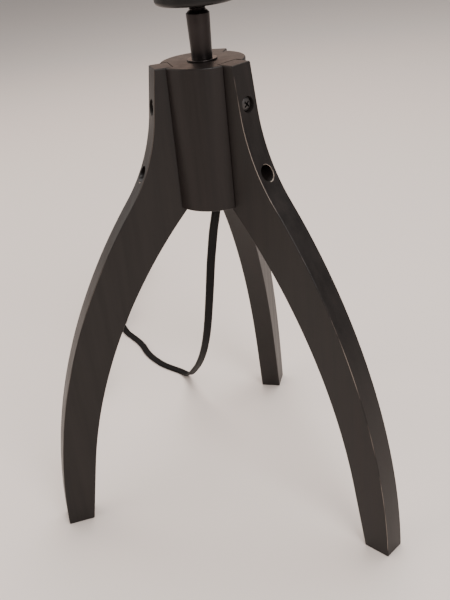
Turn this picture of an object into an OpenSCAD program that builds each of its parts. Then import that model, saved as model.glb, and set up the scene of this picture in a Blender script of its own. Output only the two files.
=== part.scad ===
// Tripod table lamp without its shade: three plate legs let into a turned hub,
// a stem with a lampholder, and a flat two-core lead with its plug.
// Millimetres, +Z up. The origin is on the lamp's axis, in the plane of the feet.
// The back leg points along +Y, the other two 120 degrees to either side.

/* [Hub] */
// Height of the hub's top face above the feet
hub_top = 307.5; // [300:0.5:316]
// Diameter of the hub
hub_d = 51; // [48:0.5:56]
// Height of the hub
hub_h = 86; // [80:0.5:92]
// Chamfer on the hub's two rims
hub_chamfer = 0.7; // [0.3:0.1:1.5]
// Diameter of the recess in the hub's underside
recess_d = 21; // [20:0.5:26]
// Depth of that recess
recess_depth = 14; // [13:0.5:18]
// Distance from the lamp's axis to the floor of each leg slot
slot_floor = 19.5; // [18.5:0.25:21]
// Gap beside a leg in its slot
slot_gap = 0.5; // [0.2:0.1:0.8]

/* [Legs] */
// Thickness of the plate that the legs are cut from
leg_t = 15.5; // [13:0.5:17]
// Distance from the axis to the outer edge of a foot
foot_reach = 134; // [128:0.5:142]
// Width of a foot along the floor
foot_w = 18; // [15:0.1:20]
// Radius of the long outer curve
outer_bow = 393; // [385:0.5:425]
// Drop of that curve's centre below the floor
outer_bow_drop = 8; // [5:0.5:13]
// Distance from the axis to the outer edge of a leg's top end
leg_top_reach = 31; // [30:0.25:32]
// Lean of the outer edge beside the hub, from upright
top_lean = 7.2; // [6.5:0.1:9.5]
// Radius of the hollow between that edge and the long outer curve
hollow_bow = 113; // [100:1:125]
// Lean of the inner edge at the foot, from upright
foot_lean = 10.5; // [9.5:0.1:12]
// Height up to which the inner edge is straight
foot_straight = 46; // [38:1:52]
// Chamfer along a leg's edges
leg_chamfer = 0.7; // [0.3:0.1:1.2]

/* [Leg screws] */
// Depth of the upper screws below the hub's top face
upper_screw_drop = 23; // [19:0.5:28]
// Depth of the lower screws below the hub's top face
lower_screw_drop = 62.5; // [54:0.5:64]
// Distance from the axis to the seat of a screw's head
head_seat = 30.4; // [29.6:0.1:30.8]
// Length of a screw under its head
screw_l = 21; // [18:0.5:22]
// Diameter of a screw's shank
screw_d = 3.9; // [3.4:0.1:4.4]
// Diameter of a screw's head
screw_head_d = 8.2; // [7.4:0.1:8.8]
// Height of a screw's head
screw_head_h = 2.6; // [2:0.1:3]
// Diameter of the counterbore for the head
counterbore_d = 9.4; // [9:0.1:11]

/* [Stem] */
// Diameter of the threaded tube
tube_d = 9.8; // [9.4:0.1:10.4]
// Bore of the threaded tube
tube_bore = 7.4; // [7.2:0.1:7.8]
// Clearance round the threaded tube in what it passes through
tube_clear = 0.1; // [0.05:0.05:0.2]
// Diameter of the washer on the hub
washer_d = 18; // [16:0.5:20]
// Thickness of the washer on the hub
washer_t = 1; // [0.8:0.1:1.5]
// Length of the stem sleeve
sleeve_l = 27; // [24:0.5:32]
// Diameter of the sleeve at its foot
sleeve_foot_d = 12.3; // [12:0.1:13]
// Diameter of the sleeve near its top
sleeve_top_d = 13.8; // [13.2:0.1:15]
// Chamfer on the sleeve's top edge
sleeve_chamfer = 1.6; // [0.6:0.1:1.7]
// Bare neck of tube between the sleeve and the lampholder
neck_l = 4.4; // [3:0.1:7]
// Thickness of the hexagon nuts on the tube
nut_t = 4.2; // [3.5:0.1:4.5]
// Width across the flats of those nuts
nut_af = 14; // [13:0.5:15]
// Thickness of the lock washer under the hub
lock_t = 0.8; // [0.6:0.1:1]
// Length of tube that stands out of a nut
tube_out = 1; // [0.6:0.1:1.2]
// Thickness of the cord bushing's flange
bushing_t = 1.6; // [1.2:0.1:2]
// Length of the bushing's neck inside the tube
bushing_neck = 5; // [4:0.5:8]

/* [Lampholder] */
// Diameter of the holder's cap
cap_d = 48.4; // [47:0.2:52]
// Height of the holder's cap
cap_h = 27; // [26:0.5:32]
// Thickness of the cap's wall at its rim
cap_wall = 2.4; // [2:0.1:2.8]
// Thickness of the cap's floor
cap_floor = 3; // [2.4:0.1:3.4]
// Rounding of the cap's lower edge
cap_round = 2.6; // [2:0.1:3.5]
// Width of the ledge inside the cap
cap_ledge = 2.3; // [1.8:0.1:2.6]
// Thickness of the insert's flange on that ledge
insert_flange = 4; // [3:0.5:5]
// Diameter of the insert's block
insert_d = 33; // [31:0.5:34]
// Height of the insert's block below the cap's rim
insert_h = 15; // [14.5:0.1:16]
// Diameter of the skirt's outer thread
skirt_d = 39.4; // [38.4:0.2:41]
// Bore of the skirt
skirt_bore = 33.6; // [32.6:0.2:34.6]
// Height of the skirt above its flange
skirt_h = 28; // [26:0.5:34]
// Thickness of the skirt's flange
skirt_flange = 3; // [2:0.5:4]
// Inner diameter of the brass screw shell
shell_bore = 26.6; // [26.4:0.1:27]
// Thickness of the brass
shell_t = 0.7; // [0.5:0.1:0.9]
// Height of the screw shell
shell_h = 22; // [19:0.5:24]
// Outer diameter of the shade ring
ring_d = 57; // [52:0.5:60]
// Height of the shade ring
ring_h = 7; // [6:0.5:9]
// Clearance between the shade ring and the skirt's thread
ring_clear = 0.1; // [0.06:0.01:0.1]
// Gap between the shade ring and the flange below it
ring_gap = 0.3; // [0.2:0.05:0.5]

/* [Switch knob] */
// Direction of the knob round the lamp's axis
knob_dir = 30; // [10:1:70]
// Height of the knob's shaft above the cap's underside
knob_up = 18.2; // [17.6:0.1:18.6]
// Diameter of the knob's shaft
shaft_d = 4.6; // [4:0.1:5]
// Clearance round the shaft in its bearings
shaft_clear = 0.06; // [0.03:0.01:0.1]
// Distance from the axis to the inner end of the shaft
shaft_in = 6; // [5:0.5:8]
// Gap between the knob and the cap
knob_gap = 0.5; // [0.3:0.1:1]
// Diameter of the knob's collar
knob_collar_d = 9; // [8:0.5:11]
// Length of the knob
knob_l = 17; // [14:0.5:20]
// Width of the knob's wing
knob_w = 15; // [12:0.5:17]
// Thickness of the knob's wing
knob_t = 4.4; // [3.6:0.1:5.4]

/* [Lead and plug] */
// Width of the flat lead
cord_w = 6.2; // [5.8:0.1:6.4]
// Thickness of the flat lead
cord_t = 2.8; // [2.6:0.1:3]
// Clearance round the lead in the bushing
cord_clear = 0.15; // [0.1:0.05:0.25]
// Diameter of one insulated core
core_d = 2; // [1.6:0.1:2.2]
// Width of the plug's body
plug_w = 24; // [22:0.5:26]
// Thickness of the plug's body
plug_h = 14; // [13:0.5:16]
// Length of the plug's body
plug_l = 31; // [28:0.5:36]
// Length of the plug's strain relief
relief_l = 25; // [20:0.5:30]
// Length of a blade outside the plug
blade_l = 16.5; // [15:0.5:18]
// Distance between the two blades
blade_pitch = 12.7; // [12:0.1:13]
// Width of the narrow blade
blade_w = 6.3; // [6:0.1:6.6]
// Width of the wide blade
wide_blade_w = 7.9; // [7.5:0.1:8.2]
// Thickness of a blade
blade_t = 1.5; // [1.3:0.1:1.7]

/* [Hank] */
// Length of a run between two folds
run_l = 106; // [95:1:110]
// Least radius of a fold
fold_r = 18.5; // [18.5:0.5:20]
// How far the loops spiral in and out
fold_drift = 1; // [0.8:0.1:2]
// Rise from one loop to the next
loop_rise = 3.3; // [3.3:0.05:3.6]
// How far the waist is drawn in
waist_in = 10; // [6:0.5:11]
// Thickness of the tie round the waist
tie_t = 1; // [0.8:0.1:1.4]
// Width of the tie
tie_w = 12; // [8:0.5:14]

/* [Hidden] */

$fn = 96;
touch = 0.05;                 // gap between pieces that are screwed or pressed together
over = 1;                     // how far a cutting shape runs past what it cuts
wood = "#2b211d";
black = "#17181a";
steel = "#b9bcc0";
brass = "#c9a24b";
tube_black = "#1d1d1f";
insert_white = "#e8e4da";
core_brown = "#8a3b22";
blade_brass = "#d9c089";

hub_bottom = hub_top - hub_h;
leg_dirs = [90, 210, 330];

// Heights along the stem, from the hub's top face upwards
sleeve_foot = hub_top + washer_t;
sleeve_top = sleeve_foot + sleeve_l;
cap_foot = sleeve_top + neck_l;
cap_inside = cap_foot + cap_floor;
tube_top = cap_inside + nut_t + tube_out;
cap_rim = cap_foot + cap_h;
insert_foot = cap_rim - insert_h;
skirt_seat = cap_rim + skirt_flange;
skirt_top = skirt_seat + skirt_h;
split_z = tube_top + 0.4;     // where the two cores of the lead part, just above the tube
knob_r = cap_d / 2 + knob_gap;

// Inside the lampholder
terminal_r = 10.5;            // distance of the two terminal screws from the axis
terminal_d = 5;
terminal_head_h = 1.6;
terminal_shank_d = 2.4;
terminal_shank_l = 2.5;
post_r = 4;                   // the insert's post, which carries the centre contact
post_h = 1.2;
strip_r = 9.5;                // the side contact's strip: how far out it lies, and its size
strip_l = 7;
strip_w = 4;
strip_t = 0.85;
strip_rise = 2.6;
strip_clear = 0.6;            // gap between the contacts and the shell's floor
shell_foot_h = 3.4;           // the shell's foot: its height, past the contacts, and its taper
shell_foot_in = 1.2;

// Heights in the recess under the hub, from its roof downwards
recess_roof = hub_bottom + recess_depth;
nut_top = recess_roof - lock_t;
nut_foot = nut_top - nut_t;
tube_foot = nut_foot - tube_out;
cord_exit = tube_foot - bushing_t;

// ---------------------------------------------------------------- leg profile
// Points are [distance from the axis, height].

function at(centre, r, a) = centre + r * [cos(a), sin(a)];
// n steps along an arc; from = 1 leaves out its first point, where another arc has just ended.
function arc(centre, r, a0, a1, n, from = 0) =
    [for (i = [from:n]) at(centre, r, a0 + (a1 - a0) * i / n)];
function toward(from, to) = atan2(to[1] - from[1], to[0] - from[0]);

// Long outer curve: its circle stands outer_bow_drop below the floor and meets the foot's edge.
bow_c = [foot_reach - sqrt(pow(outer_bow, 2) - pow(outer_bow_drop, 2)), -outer_bow_drop];

// Edge beside the hub: a straight line down from the leg's top end, leaning outwards.
top_end = [leg_top_reach, hub_top];
top_down = [sin(top_lean), -cos(top_lean)];
top_out = [cos(top_lean), sin(top_lean)];

// Hollow: the circle outside the leg that touches both the line and the long outer curve.
hollow_start = top_end + hollow_bow * top_out - bow_c;
half_b = hollow_start * top_down;
slide = -half_b - sqrt(pow(half_b, 2) - hollow_start * hollow_start + pow(outer_bow + hollow_bow, 2));
hollow_c = bow_c + hollow_start + slide * top_down;
bow_end = toward(bow_c, hollow_c);
bow_start = asin(outer_bow_drop / outer_bow);

// Inner edge: straight up from the foot, then one arc that ends at the hub's lower corner.
inner_foot = [foot_reach - foot_w, 0];
inner_bend = [inner_foot[0] - foot_straight * tan(foot_lean), foot_straight];
inner_out = [cos(foot_lean), sin(foot_lean)];
inner_end = [slot_floor, hub_bottom];
chord = inner_end - inner_bend;
inner_bow = -(chord * chord) / (2 * (chord * inner_out));
inner_c = inner_bend - inner_bow * inner_out;

// Both edges from the foot to the top, with as many points on one as on the other.
function line(p, q, n, from = 0) = [for (i = [from:n]) p + (q - p) * i / n];
outer_edge = concat(
    arc(bow_c, outer_bow, bow_start, bow_end, 22),
    arc(hollow_c, hollow_bow, bow_end + 180, top_lean + 180, 10, from = 1),
    [top_end]
);
inner_edge = concat(
    line(inner_foot, inner_bend, 4),
    arc(inner_c, inner_bow, foot_lean, toward(inner_c, inner_end), 17, from = 1),
    line(inner_end, [slot_floor, hub_top], 12, from = 1)
);

// ---------------------------------------------------------------- lead
// Route of the free stretch, from the bushing down to the table and over it to the hank.
cord_half = cord_t / 2;
drop_route = [
    [0, 0, cord_exit], [0, 0, cord_exit - 6], [-0.7, 0.7, 215], [-2.8, 3, 206.5], [-6.4, 8, 195],
    [-10.3, 14.5, 181], [-14.7, 21.4, 164], [-19.3, 29.3, 144], [-24.5, 37.9, 122], [-30, 46.9, 100],
    [-36.1, 56.9, 80], [-43.7, 68.9, 60], [-52.8, 82.8, 41], [-62.2, 97.8, 25],
    [-70.6, 111.3, 11.8], [-77.3, 120.6, 4.2]
];
floor_route = [
    [-84.8, 127.8], [-94.8, 132.7], [-104.6, 137.5], [-113.3, 143.6], [-121.2, 150.4],
    [-129, 158.8], [-136.5, 169.4], [-144.5, 178.3], [-153, 186], [-161, 193.2], [-167, 201]
];

lead_lean = atan2(drop_route[2][1], drop_route[2][0]);     // the way the lead leans off

// The hank lies behind the left leg. Its own x is across the loops, its own y along the runs.
hank_at = [-203, 271.2];
hank_turn = 10;
runs = 8;
run_stops = [0, 0.14, 0.28, 0.42, 0.58, 0.72, 0.86];    // where a run has its rings, of its length
fold_steps = 8;
straight_end = 7;             // straight length of lead where the hank and the free stretches meet
tie_lift = tie_t + 0.15;      // the tie passes under the waist, so the waist is raised by it

function turned(p, a) = [cos(a) * p[0] - sin(a) * p[1], sin(a) * p[0] + cos(a) * p[1]];
function in_hank(p) = let (q = turned(p, hank_turn)) [hank_at[0] + q[0], hank_at[1] + q[1], p[2]];
// How much of the waist a run has at its fraction f: none at the folds, all of it in the tie.
function waist(f) = let (t = min(1, min(f, 1 - f) / run_stops[3])) t * t * (3 - 2 * t);
// Radius of a loop after u loops: it drifts in over one loop and out again over the next.
function loop_r(u) = fold_r + fold_drift * abs(u % 2 - 1);
// Height of the lead's middle: each loop climbs along its left run.
function loop_z(k, f) = cord_half + loop_rise * (floor(k / 2) + (k % 2 == 1 ? f : 0));
function run_point(k, f) =
    let (side = k % 2 == 0 ? 1 : -1)
    [side * (loop_r((k + f) / 2) - waist_in * waist(f)), side * (f - 0.5) * run_l,
     loop_z(k, f) + tie_lift * waist(f)];
function fold_point(k, f) =
    let (end = k % 2 == 0 ? 1 : -1, r = loop_r((k + 1) / 2))
    [end * r * cos(180 * f), end * (run_l / 2 + r * sin(180 * f)), loop_z(k, 1)];
// Both ends of the hank lie at its near end and run straight for a little more than the
// lead's width.
function end_point(k, f) = let (p = run_point(k, f)) [p[0], p[1] - straight_end, p[2]];
hank_route = concat(
    [in_hank(end_point(0, 0))],
    [for (k = [0:runs - 1]) each concat(
        [for (f = run_stops) in_hank(run_point(k, f))],
        k == runs - 1 ? [in_hank(run_point(k, 1))]
                      : [for (i = [0:fold_steps - 1]) in_hank(fold_point(k, i / fold_steps))]
    )],
    [in_hank(end_point(runs - 1, 1))]
);
hank_start = hank_route[0];
hank_end = hank_route[len(hank_route) - 1];
hank_along = [-sin(hank_turn), cos(hank_turn), 0];

// The tail runs from the hank, over its near folds, down to the plug's strain relief.
plug_at = [-180, 144, plug_h / 2];
plug_turn = -74;
blade_root = 10;              // length of a blade inside the plug's body
plug_along = [cos(plug_turn), sin(plug_turn), 0];
tail_route = concat(
    [hank_end, hank_end - straight_end * hank_along],
    [[-204.6, 192.2, 14.4], [-200.2, 182.6, 12.8], [-194.8, 172.6, 10.4], [-188.3, 161.5, 8.2]],
    [plug_at - straight_end * plug_along, plug_at]
);
supply_route = concat(
    drop_route,
    [for (p = floor_route) [p[0], p[1], cord_half]],
    [hank_start - straight_end * hank_along, hank_start]
);

// A smooth curve through the points of a route, n pieces between each two points. It never
// dips below the height at which the lead lies flat on the table.
function ends_doubled(p) = concat([2 * p[0] - p[1]], p, [2 * p[len(p) - 1] - p[len(p) - 2]]);
function curve(a, b, c, d, t) =
    0.5 * (2 * b + (c - a) * t + (2 * a - 5 * b + 4 * c - d) * t * t + (3 * b - a - 3 * c + d) * t * t * t);
function above_table(p) = [p[0], p[1], max(p[2], cord_half)];
function smooth_route(route, n) =
    let (p = ends_doubled(route))
    concat(
        [for (i = [1:len(p) - 3], k = [0:n - 1])
            above_table(curve(p[i - 1], p[i], p[i + 1], p[i + 2], k / n))],
        [route[len(route) - 1]]
    );

function unit(v) = v / norm(v);
// Direction of a route at its point i, and the level direction across it there. Where the
// route drops straight down, the lead's broad side faces along the stretch below.
function along(p, i) =
    i == 0 ? unit(p[1] - p[0]) : i == len(p) - 1 ? unit(p[i] - p[i - 1]) : unit(p[i + 1] - p[i - 1]);
function level_across(p, i) =
    let (d = along(p, i))
    norm([d[0], d[1]]) > 0.05 ? unit([-d[1], d[0], 0]) : level_across(p, i + 1);
function ring_at(p, i, section) =
    let (across = level_across(p, i), face = unit(cross(along(p, i), across)))
    [for (s = section) p[i] + s[0] * across + s[1] * face];

// Section of the two-core lead: two round lobes with a groove between them.
lobe = cord_t / 2;
groove = cord_t * 0.34;
two_core_section = concat(
    [[0, -groove]],
    [for (a = [-75, -25, 25, 75]) [cord_w / 2 - lobe + lobe * cos(a), lobe * sin(a)]],
    [[0, groove]],
    [for (a = [105, 155, 205, 255]) [lobe - cord_w / 2 + lobe * cos(a), lobe * sin(a)]]
);
plain_section = [
    [cord_w / 2, 0], [cord_w / 4, cord_half], [-cord_w / 4, cord_half],
    [-cord_w / 2, 0], [-cord_w / 4, -cord_half], [cord_w / 4, -cord_half]
];
function round_section(d, n) = [for (i = [0:n - 1]) d / 2 * [cos(360 * i / n), sin(360 * i / n)]];

// A tube of one section along a route, closed at both ends, in triangles. The ends fan out
// from the section's first point, which sees all the others.
module sweep(route, section) {
    n = len(section);
    m = len(route);
    points = [for (i = [0:m - 1]) each ring_at(route, i, section)];
    walls = [
        for (i = [0:m - 2], k = [0:n - 1])
            let (a = i * n + k, b = i * n + (k + 1) % n, c = a + n, d = b + n)
            each [[a, c, b], [b, c, d]]
    ];
    first = [for (k = [1:n - 2]) [0, k, k + 1]];
    last = [for (k = [1:n - 2]) [(m - 1) * n, (m - 1) * n + k + 1, (m - 1) * n + k]];
    polyhedron(points, concat(walls, first, last));
}

// Least gap between two places of the hank that aren't neighbours along the lead.
function gap_between(p, q) =
    max(abs(p[2] - q[2]) - cord_t, norm([p[0] - q[0], p[1] - q[1]]) - cord_w);
hank_gap = min([
    for (i = [0:len(hank_route) - 1], j = [i + 4:1:len(hank_route) - 1])
        gap_between(hank_route[i], hank_route[j])
]);
function sum(v) = v * [for (x = v) 1];
function route_length(p) = sum([for (i = [1:len(p) - 1]) norm(p[i] - p[i - 1])]);
lead_length = route_length(smooth_route(supply_route, 2)) + route_length(hank_route)
    + route_length(smooth_route(tail_route, 2));
echo(hank_gap = hank_gap, lead_length = lead_length);

// ---------------------------------------------------------------- stand

// Places its children at each leg screw of one row, pointing outwards along +Z.
module at_screws(drop) {
    for (a = leg_dirs)
        rotate([0, 0, a]) translate([0, 0, hub_top - drop]) rotate([0, 90, 0]) children();
}

module hub() {
    color(wood) difference() {
        rotate_extrude() polygon([
            [0, hub_bottom], [hub_d / 2 - hub_chamfer, hub_bottom], [hub_d / 2, hub_bottom + hub_chamfer],
            [hub_d / 2, hub_top - hub_chamfer], [hub_d / 2 - hub_chamfer, hub_top], [0, hub_top]
        ]);
        for (a = leg_dirs) rotate([0, 0, a])
            translate([slot_floor, -leg_t / 2 - slot_gap, hub_bottom - over])
                cube([hub_d, leg_t + 2 * slot_gap, hub_h + 2 * over]);
        translate([0, 0, hub_bottom - over]) cylinder(d = tube_d + 2 * tube_clear, h = hub_h + 2 * over);
        translate([0, 0, hub_bottom - over]) cylinder(d = recess_d, h = recess_depth + over);
        for (drop = [upper_screw_drop, lower_screw_drop]) at_screws(drop)
            translate([0, 0, head_seat - screw_l - touch])
                cylinder(d = screw_d + 2 * touch, h = screw_l, $fn = 32);
    }
}

// Where the corner q of an outline comes to when the edges p-q and q-r move inwards by c.
function inset_corner(p, q, r, c) =
    let (a = unit(q - p), b = unit(r - q), na = [a[1], -a[0]], nb = [b[1], -b[0]])
    q - c / (1 + na * nb) * (na + nb);

// A plate between two edges of m points each, right one first, with the edges of both its
// faces chamfered. Its faces are ladders of quadrilaterals between the two edges.
module eased_plate(right, left, t, c) {
    m = len(right);
    n = 2 * m;
    outline = concat(right, [for (i = [m - 1:-1:0]) left[i]]);
    face = [for (i = [0:n - 1]) inset_corner(outline[(i + n - 1) % n], outline[i], outline[(i + 1) % n], c)];
    rings = [[face, -t / 2], [outline, c - t / 2], [outline, t / 2 - c], [face, t / 2]];
    ladder = [for (i = [0:m - 2]) [i, i + 1, n - 2 - i, n - 1 - i]];
    polyhedron(
        [for (ring = rings, p = ring[0]) [p[0], p[1], ring[1]]],
        concat(
            ladder,
            [for (k = [0:2], i = [0:n - 1])
                [k * n + i, (k + 1) * n + i, (k + 1) * n + (i + 1) % n, k * n + (i + 1) % n]],
            [for (q = ladder) [for (j = [3:-1:0]) q[j] + 3 * n]]
        )
    );
}

module leg(dir) {
    color(wood) rotate([0, 0, dir]) difference() {
        rotate([90, 0, 0]) eased_plate(outer_edge, inner_edge, leg_t, leg_chamfer);
        for (drop = [upper_screw_drop, lower_screw_drop]) translate([0, 0, hub_top - drop])
            rotate([0, 90, 0]) {
                cylinder(d = screw_d + 4 * touch, h = foot_reach, $fn = 32);
                translate([0, 0, head_seat]) cylinder(d = counterbore_d, h = foot_reach, $fn = 48);
            }
    }
}

// Six screws, three in each row: pan heads with a cross recess, shanks with a short point.
module leg_screw_row(drop) {
    slot_w = 1;
    color(steel) at_screws(drop) translate([0, 0, head_seat]) difference() {
        rotate_extrude($fn = 48) polygon([
            [0, -screw_l], [screw_d / 6, -screw_l], [screw_d / 2, -screw_l + screw_d], [screw_d / 2, 0],
            [screw_head_d / 2, 0], [screw_head_d / 2, screw_head_h * 0.45],
            [screw_head_d * 0.42, screw_head_h * 0.8], [screw_head_d * 0.28, screw_head_h],
            [0, screw_head_h]
        ]);
        for (a = [45, 135]) rotate([0, 0, a])
            translate([-screw_head_d / 4, -slot_w / 2, screw_head_h / 3])
                cube([screw_head_d / 2, slot_w, screw_head_h]);
    }
}
module upper_screws() { leg_screw_row(upper_screw_drop); }
module lower_screws() { leg_screw_row(lower_screw_drop); }

// ---------------------------------------------------------------- stem

module stem_washer() {
    color(black) translate([0, 0, hub_top]) difference() {
        cylinder(d = washer_d, h = washer_t);
        translate([0, 0, -over]) cylinder(d = tube_d + 2 * tube_clear, h = washer_t + 2 * over);
    }
}

module stem_sleeve() {
    color(tube_black) translate([0, 0, sleeve_foot]) difference() {
        rotate_extrude() polygon([
            [0, 0], [sleeve_foot_d / 2, 0], [sleeve_top_d / 2, sleeve_l - sleeve_chamfer],
            [sleeve_top_d / 2 - sleeve_chamfer, sleeve_l], [0, sleeve_l]
        ]);
        translate([0, 0, -over]) cylinder(d = tube_d + 2 * tube_clear, h = sleeve_l + 2 * over);
    }
}

module threaded_tube() {
    color(tube_black) translate([0, 0, tube_foot]) difference() {
        cylinder(d = tube_d, h = tube_top - tube_foot);
        translate([0, 0, -over]) cylinder(d = tube_bore, h = tube_top - tube_foot + 2 * over);
    }
}

// External-tooth lock washer.
module lock_washer() {
    teeth = 12;
    rim = nut_af * 0.56;
    color(steel) translate([0, 0, nut_top]) difference() {
        union() {
            cylinder(r = rim, h = lock_t);
            for (i = [0:teeth - 1]) rotate([0, 0, 360 * i / teeth])
                translate([0, -rim * 0.12, 0]) cube([rim * 1.14, rim * 0.24, lock_t]);
        }
        translate([0, 0, -over]) cylinder(d = tube_d + 2 * touch, h = lock_t + 2 * over);
    }
}

// Hexagon nut with its corners turned off, standing on z.
module hex_nut(z) {
    corner_d = nut_af / cos(30);
    color(steel) translate([0, 0, z]) difference() {
        intersection() {
            cylinder(d = corner_d, h = nut_t, $fn = 6);
            rotate_extrude() polygon([
                [0, 0], [nut_af / 2, 0], [corner_d / 2, 0.6], [corner_d / 2, nut_t - 0.6],
                [nut_af / 2, nut_t], [0, nut_t]
            ]);
        }
        translate([0, 0, -over]) cylinder(d = tube_d + 2 * touch, h = nut_t + 2 * over);
    }
}
module hub_nut() { hex_nut(nut_foot); }
module cap_nut() { hex_nut(cap_inside); }

// Bushing that keeps the lead off the tube's sharp end.
module cord_bushing() {
    color(black) difference() {
        union() {
            translate([0, 0, cord_exit]) cylinder(d = tube_d + 1.4, h = bushing_t);
            translate([0, 0, tube_foot]) cylinder(d = tube_bore - 2 * touch, h = bushing_neck);
        }
        translate([0, 0, cord_exit - over])
            linear_extrude(bushing_t + bushing_neck + 2 * over) lead_outline(cord_clear);
    }
}

// Flat outline of the lead, seen along it, widened by a clearance all round. Its broad side
// faces the way that the lead leans when it has left the bushing.
module lead_outline(clear) {
    rotate([0, 0, lead_lean + 90]) {
        square([cord_w - cord_t, cord_t + 2 * clear], center = true);
        for (side = [-1, 1]) translate([side * (cord_w - cord_t) / 2, 0])
            circle(d = cord_t + 2 * clear, $fn = 32);
    }
}

module inner_lead() {
    color(black) translate([0, 0, cord_exit]) linear_extrude(split_z - cord_exit) lead_outline(0);
}

// ---------------------------------------------------------------- lampholder

module holder_cap() {
    ledge_z = cap_rim - insert_flange;
    r = cap_d / 2;
    inner = r - cap_wall;
    color(black) difference() {
        rotate_extrude() difference() {
            union() {
                translate([0, cap_foot + cap_round]) square([r, cap_h - cap_round]);
                translate([0, cap_foot]) square([r - cap_round, cap_round + over]);
                translate([r - cap_round, cap_foot + cap_round]) circle(cap_round, $fn = 64);
            }
            translate([0, cap_inside]) square([inner - cap_ledge, cap_h]);
            translate([0, ledge_z]) square([inner, cap_h]);
            translate([-cap_d, cap_foot - over]) square([cap_d, cap_h * 2]);
        }
        translate([0, 0, cap_foot - over]) cylinder(d = tube_d + 2 * tube_clear, h = cap_floor + 2 * over);
        along_knob(insert_d / 2) cylinder(d = shaft_d + 2 * shaft_clear, h = cap_d, $fn = 48);
    }
}

// Places its children on the knob's axis, at a distance from the lamp's axis, pointing outwards.
module along_knob(r) {
    rotate([0, 0, knob_dir]) translate([r, 0, cap_foot + knob_up]) rotate([0, 90, 0]) children();
}

module at_terminals() {
    for (side = [0, 180]) rotate([0, 0, knob_dir + 90 + side]) translate([terminal_r, 0, 0]) children();
}

// Insulating insert: its flange lies on the cap's ledge, and the skirt clamps it.
module holder_insert() {
    inner = cap_d / 2 - cap_wall;
    color(insert_white) difference() {
        union() {
            translate([0, 0, insert_foot]) cylinder(d = insert_d, h = insert_h);
            translate([0, 0, cap_rim - insert_flange]) cylinder(r = inner - touch, h = insert_flange);
            translate([0, 0, cap_rim]) cylinder(r = post_r, h = post_h);
        }
        along_knob(shaft_in - touch) cylinder(d = shaft_d + 2 * shaft_clear, h = insert_d, $fn = 48);
        at_terminals() translate([0, 0, insert_foot - over])
            cylinder(d = terminal_shank_d + 2 * touch, h = terminal_shank_l + over + touch, $fn = 32);
        side_contact_room(0.15, strip_t);
    }
}

// Places its children beside the centre contact, at the height of the cap's rim.
module at_side_contact() {
    rotate([0, 0, knob_dir + 180]) translate([strip_r, 0, cap_rim]) children();
}

// Room for the side contact's strip: a pocket in the insert and a slot in the shell's floor.
module side_contact_room(clear, depth) {
    at_side_contact() translate([-strip_l / 2 - clear, -strip_w / 2 - clear, -depth])
        cube([strip_l + 2 * clear, strip_w + 2 * clear, depth + over]);
}

module terminal_screws() {
    slot_w = 0.8;
    slot_depth = 0.7;
    color(brass) at_terminals() translate([0, 0, insert_foot]) difference() {
        union() {
            translate([0, 0, -terminal_head_h]) cylinder(d = terminal_d, h = terminal_head_h, $fn = 48);
            cylinder(d = terminal_shank_d, h = terminal_shank_l, $fn = 32);
        }
        translate([-terminal_d, -slot_w / 2, -terminal_head_h - over])
            cube([2 * terminal_d, slot_w, over + slot_depth]);
    }
}

// The two cores, from the end of the flat lead to just under the terminal screws. Each rises,
// bends over above the tube's rim and runs out level under its screw's head.
module core_wires() {
    gap = 0.3;
    bend_r = core_d * 0.7;
    bend_steps = 6;
    low_z = insert_foot - terminal_head_h - core_d / 2 - gap;
    color(core_brown) for (side = [0, 180]) {
        start = turned([(cord_w - cord_t) / 2, 0], lead_lean - 90 + side);
        stop = turned([terminal_r, 0], knob_dir + 90 + side);
        reach = norm(stop - start);
        way = concat(
            [[0, split_z + gap / 2]],
            arc([bend_r, split_z + gap], bend_r, 180, 90, bend_steps),
            [[reach - terminal_d / 2, low_z], [reach, low_z]]
        );
        sweep([for (p = way) [each (start + (stop - start) * p[0] / reach), p[1]]], round_section(core_d, 8));
    }
}

// Brass screw shell: an open cup, drawn in at its foot, with a hole in its floor for the
// contacts.
module thread_shell() {
    r = shell_bore / 2 + shell_t;
    color(brass) difference() {
        union() {
            translate([0, 0, cap_rim]) cylinder(r1 = r - shell_foot_in, r2 = r, h = shell_foot_h);
            translate([0, 0, cap_rim + shell_foot_h]) cylinder(r = r, h = shell_h - shell_foot_h);
        }
        translate([0, 0, cap_rim + shell_t])
            cylinder(r1 = shell_bore / 2 - shell_foot_in, r2 = shell_bore / 2, h = shell_foot_h - shell_t);
        translate([0, 0, cap_rim + shell_foot_h]) cylinder(d = shell_bore, h = shell_h);
        translate([0, 0, cap_rim - over]) cylinder(r = post_r + strip_clear, h = 2 * over);
        side_contact_room(strip_clear, over);
    }
}

// Centre contact: a plate on the insert's post, with a raised button.
module centre_contact() {
    plate_t = 0.6;
    button_r = 2.4;
    color(brass) translate([0, 0, cap_rim + post_h]) rotate_extrude($fn = 48)
        polygon([
            [0, 0], [post_r * 0.9, 0], [post_r * 0.9, plate_t], [button_r, plate_t],
            [button_r * 0.9, 2 * plate_t], [button_r * 0.5, 3 * plate_t], [0, 3 * plate_t]
        ]);
}

// Bent spring strip beside the centre contact: it lies in the insert's pocket at its outer
// end, rises towards the axis and ends level.
module side_contact() {
    t = strip_t - touch;
    l = strip_l;
    color(brass) at_side_contact() translate([0, 0, -t]) rotate([90, 0, 0])
        translate([0, 0, -strip_w / 2]) linear_extrude(strip_w)
            polygon([
                [l / 2, 0], [l / 2, t], [l * 0.1, t], [-l * 0.3, strip_rise + t],
                [-l / 2, strip_rise + t], [-l / 2, strip_rise], [-l * 0.36, strip_rise], [0, 0]
            ]);
}

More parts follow.
